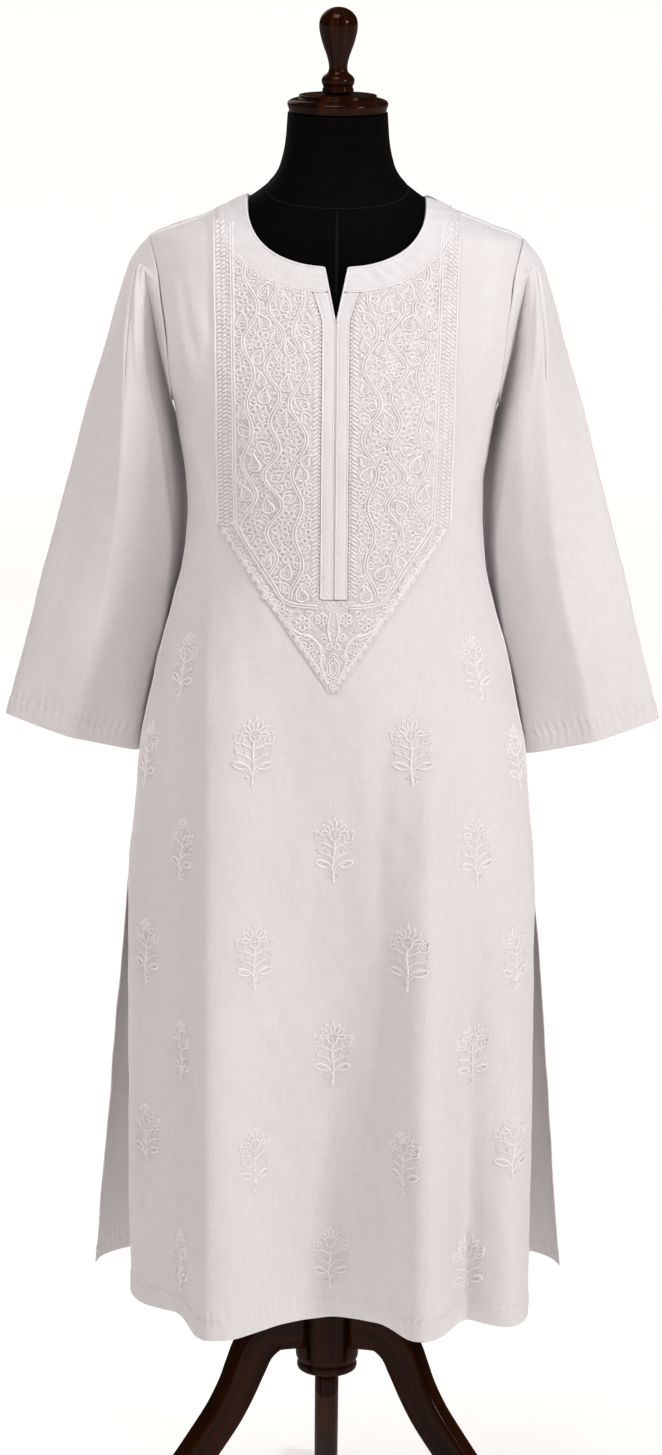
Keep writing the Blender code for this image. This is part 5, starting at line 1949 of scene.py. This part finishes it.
def make_form_seams():
    """Centre seams front and back, and the curved seam at the base of the neck."""
    z = np.linspace(*CENTRE_SEAM, 30)
    angle = np.linspace(-math.pi, math.pi, 120)
    middle, dip, curl_up = NECK_SEAM
    collar = line_of(angle * NECK_REACH,
                     middle - dip * np.cos(angle) - curl_up * np.cos(2 * angle))
    lines = [(line, *FORM_SEAM)
             for line in (line_of(0.0, z), line_of(NECK_REACH * math.pi, z), collar)]
    # Their lighter finish is painted highlight.
    thread_piece("form_seams", lines, form_chart, 0.0, "seam_finish_painted_highlight", sewn=True)


make_form()
make_form_seams()
print("form", round(2 * FORM_TOP_HALF * 1000), "mm across the top of the neck")

# %% [markdown]
# ## Turned and carved wood
#
# Cap, finial, hub, its drop and the pole are turned on a lathe: a profile carried round the
# form's axis. Cutting each corner of the profile twice gives the small roundings that
# sandpaper leaves. The legs are curved blades: a rounded section carried along a bent line.

# %% Turned pieces
CAP_PROFILE = (
    (0.0000, 1.5150), (0.0375, 1.5150), (0.0382, 1.5135), (0.0382, 1.5115),
    (0.0440, 1.5105), (0.0485, 1.5085), (0.0497, 1.5055), (0.0485, 1.5020),
    (0.0478, 1.5000), (0.0478, 1.4973), (0.0000, 1.4973),
)
FINIAL_PROFILE = (
    (0.0000, 1.6000), (0.0068, 1.5992), (0.0137, 1.5952), (0.0180, 1.5895),
    (0.0192, 1.5820), (0.0182, 1.5740), (0.0152, 1.5630), (0.0121, 1.5550),
    (0.0096, 1.5470), (0.0088, 1.5395), (0.0104, 1.5355), (0.0150, 1.5325),
    (0.0165, 1.5285), (0.0155, 1.5245), (0.0140, 1.5225), (0.0154, 1.5205),
    (0.0154, 1.5153), (0.0000, 1.5153),
)
HUB_PROFILE = (
    (0.0000, 0.3150), (0.0180, 0.3150), (0.0215, 0.3080), (0.0250, 0.2980),
    (0.0310, 0.2930), (0.0320, 0.2350), (0.0320, 0.2260), (0.0290, 0.2225),
    (0.0310, 0.2190), (0.0300, 0.2130), (0.0230, 0.2093), (0.0000, 0.2093),
)
DROP_PROFILE = (
    (0.0000, 0.2090), (0.0116, 0.2090), (0.0118, 0.1860), (0.0095, 0.1815),
    (0.0055, 0.1800), (0.0000, 0.1800),
)
POLE_PROFILE = ((0.0000, 0.7697), (0.0125, 0.7697), (0.0125, 0.3153), (0.0000, 0.3153))
TURN_COLUMNS = 72
GRAIN_REACH = 0.02
# Name, profile, node that it stands for, and how often its corners are cut
TURNED = (
    ("turned_cap", CAP_PROFILE, "neck_cap", 2), ("turned_finial", FINIAL_PROFILE, "finial", 2),
    ("turned_hub", HUB_PROFILE, "hub", 2), ("turned_drop", DROP_PROFILE, "hub_drop", 2),
    ("turned_pole", POLE_PROFILE, "pole", 1),
)


def turned(name, profile, node, cuts):
    """Profile of radius and height, read from the top down, carried round the axis."""
    line = cut_corners(profile, cuts)
    angle = np.linspace(0, 2 * math.pi, TURN_COLUMNS + 1)
    circle = line_of(np.sin(angle), -np.cos(angle))[:-1]
    heights = np.broadcast_to(line[:, None, 1:], (len(line), TURN_COLUMNS, 1))
    grid = np.concatenate([line[:, None, :1] * circle[None], heights], axis=-1)
    grain = line_of(angle[None] * GRAIN_REACH, run_of(line)[:, None])
    mesh = grid_mesh(name, [grid + np.array([0, AXIS_Y, 0])], {"grain": [grain]}, closed=True)
    piece(mesh, "wood", [node])


for name, profile, node, cuts in TURNED:
    turned(name, profile, node, cuts)
print("turned pieces", len(TURNED))

# %% Legs
LEG_THICKNESS = 0.0250
LEG_TURNS = {"leg_front_right": -60.0, "leg_front_left": 60.0, "leg_rear": 180.0}
# Distance from the hub's axis, height, depth of the blade
LEG_LINE = (
    (0.0324, 0.2620, 0.0440), (0.0600, 0.2630, 0.0420), (0.0840, 0.2500, 0.0420),
    (0.0960, 0.2280, 0.0400), (0.1040, 0.2110, 0.0380), (0.1180, 0.1870, 0.0370),
    (0.1440, 0.1540, 0.0360), (0.1800, 0.1130, 0.0350), (0.2230, 0.0720, 0.0340),
    (0.2640, 0.0380, 0.0330), (0.2950, 0.0165, 0.0330), (0.3250, 0.0165, 0.0330),
)
LEG_CORNERS = 5.0
LEG_STATIONS = 90
LEG_COLUMNS = 40
LEG_GIRTH = 0.11
# Rows at the toe whose section stands upright
LEG_FLAT_ROWS = 9


def leg_grid():
    """Blade along LEG_LINE, on +X: a section |across|^n + |up|^n = 1 at every station."""
    line = np.array(LEG_LINE)
    at = np.linspace(0, len(line) - 1, LEG_STATIONS)
    reach, z, depth = smooth(at, np.arange(len(line)), line).T
    along = np.gradient(np.stack([reach, z], axis=-1), axis=0)
    along /= np.linalg.norm(along, axis=1, keepdims=True)
    out, up = -along[:, 1], along[:, 0]
    for upright in (slice(0, 1), slice(-LEG_FLAT_ROWS, None)):
        out[upright] = 0.0
        up[upright] = 1.0
    angle = np.linspace(0, 2 * math.pi, LEG_COLUMNS + 1)[:-1]
    power = 2 / LEG_CORNERS
    v = np.sign(np.cos(angle)) * np.abs(np.cos(angle)) ** power
    u = np.sign(np.sin(angle)) * np.abs(np.sin(angle)) ** power
    half = depth[:, None] / 2 * v
    grid = np.stack([reach[:, None] + out[:, None] * half, LEG_THICKNESS / 2 * u + 0 * half,
                     z[:, None] + up[:, None] * half], axis=-1)
    around = np.linspace(0, LEG_GIRTH, LEG_COLUMNS + 1)
    return grid, line_of(around[None], run_of(line_of(reach, z))[:, None])


def make_legs():
    """The same blade turned about the hub's axis, once for each leg."""
    grid, grain = leg_grid()
    for node, degrees in LEG_TURNS.items():
        turn = math.radians(degrees - 90)
        spin = np.array([[math.cos(turn), math.sin(turn), 0],
                         [-math.sin(turn), math.cos(turn), 0], [0, 0, 1]])
        placed = grid @ spin + np.array([0, AXIS_Y, 0])
        mesh = grid_mesh("carved_" + node, [placed], {"grain": [grain]}, closed=True, capped=True)
        piece(mesh, "wood", [node])


make_legs()
print("legs", len(LEG_TURNS))

# %% Floor
FLOOR_HALF = 45.0


def make_floor():
    """Wide flat stage under the feet."""
    side = np.array([-FLOOR_HALF, FLOOR_HALF])
    x, y = np.meshgrid(side, side[::-1])
    grid = np.stack([x, y, 0 * x], axis=-1)
    floor = bpy.data.objects.new("floor", grid_mesh("floor", [grid]))
    bpy.context.scene.collection.objects.link(floor)
    floor.data.materials.append(floor_finish())


make_floor()
print("floor", 2 * FLOOR_HALF, "metres square")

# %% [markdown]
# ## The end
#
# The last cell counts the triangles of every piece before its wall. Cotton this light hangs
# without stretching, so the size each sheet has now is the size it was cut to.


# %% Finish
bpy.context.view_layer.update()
counts = {name: len(thing.data.loops) - 2 * len(thing.data.polygons)
          for name, thing in PIECES.items()}
print("triangles before walls", counts, "all", sum(counts.values()))
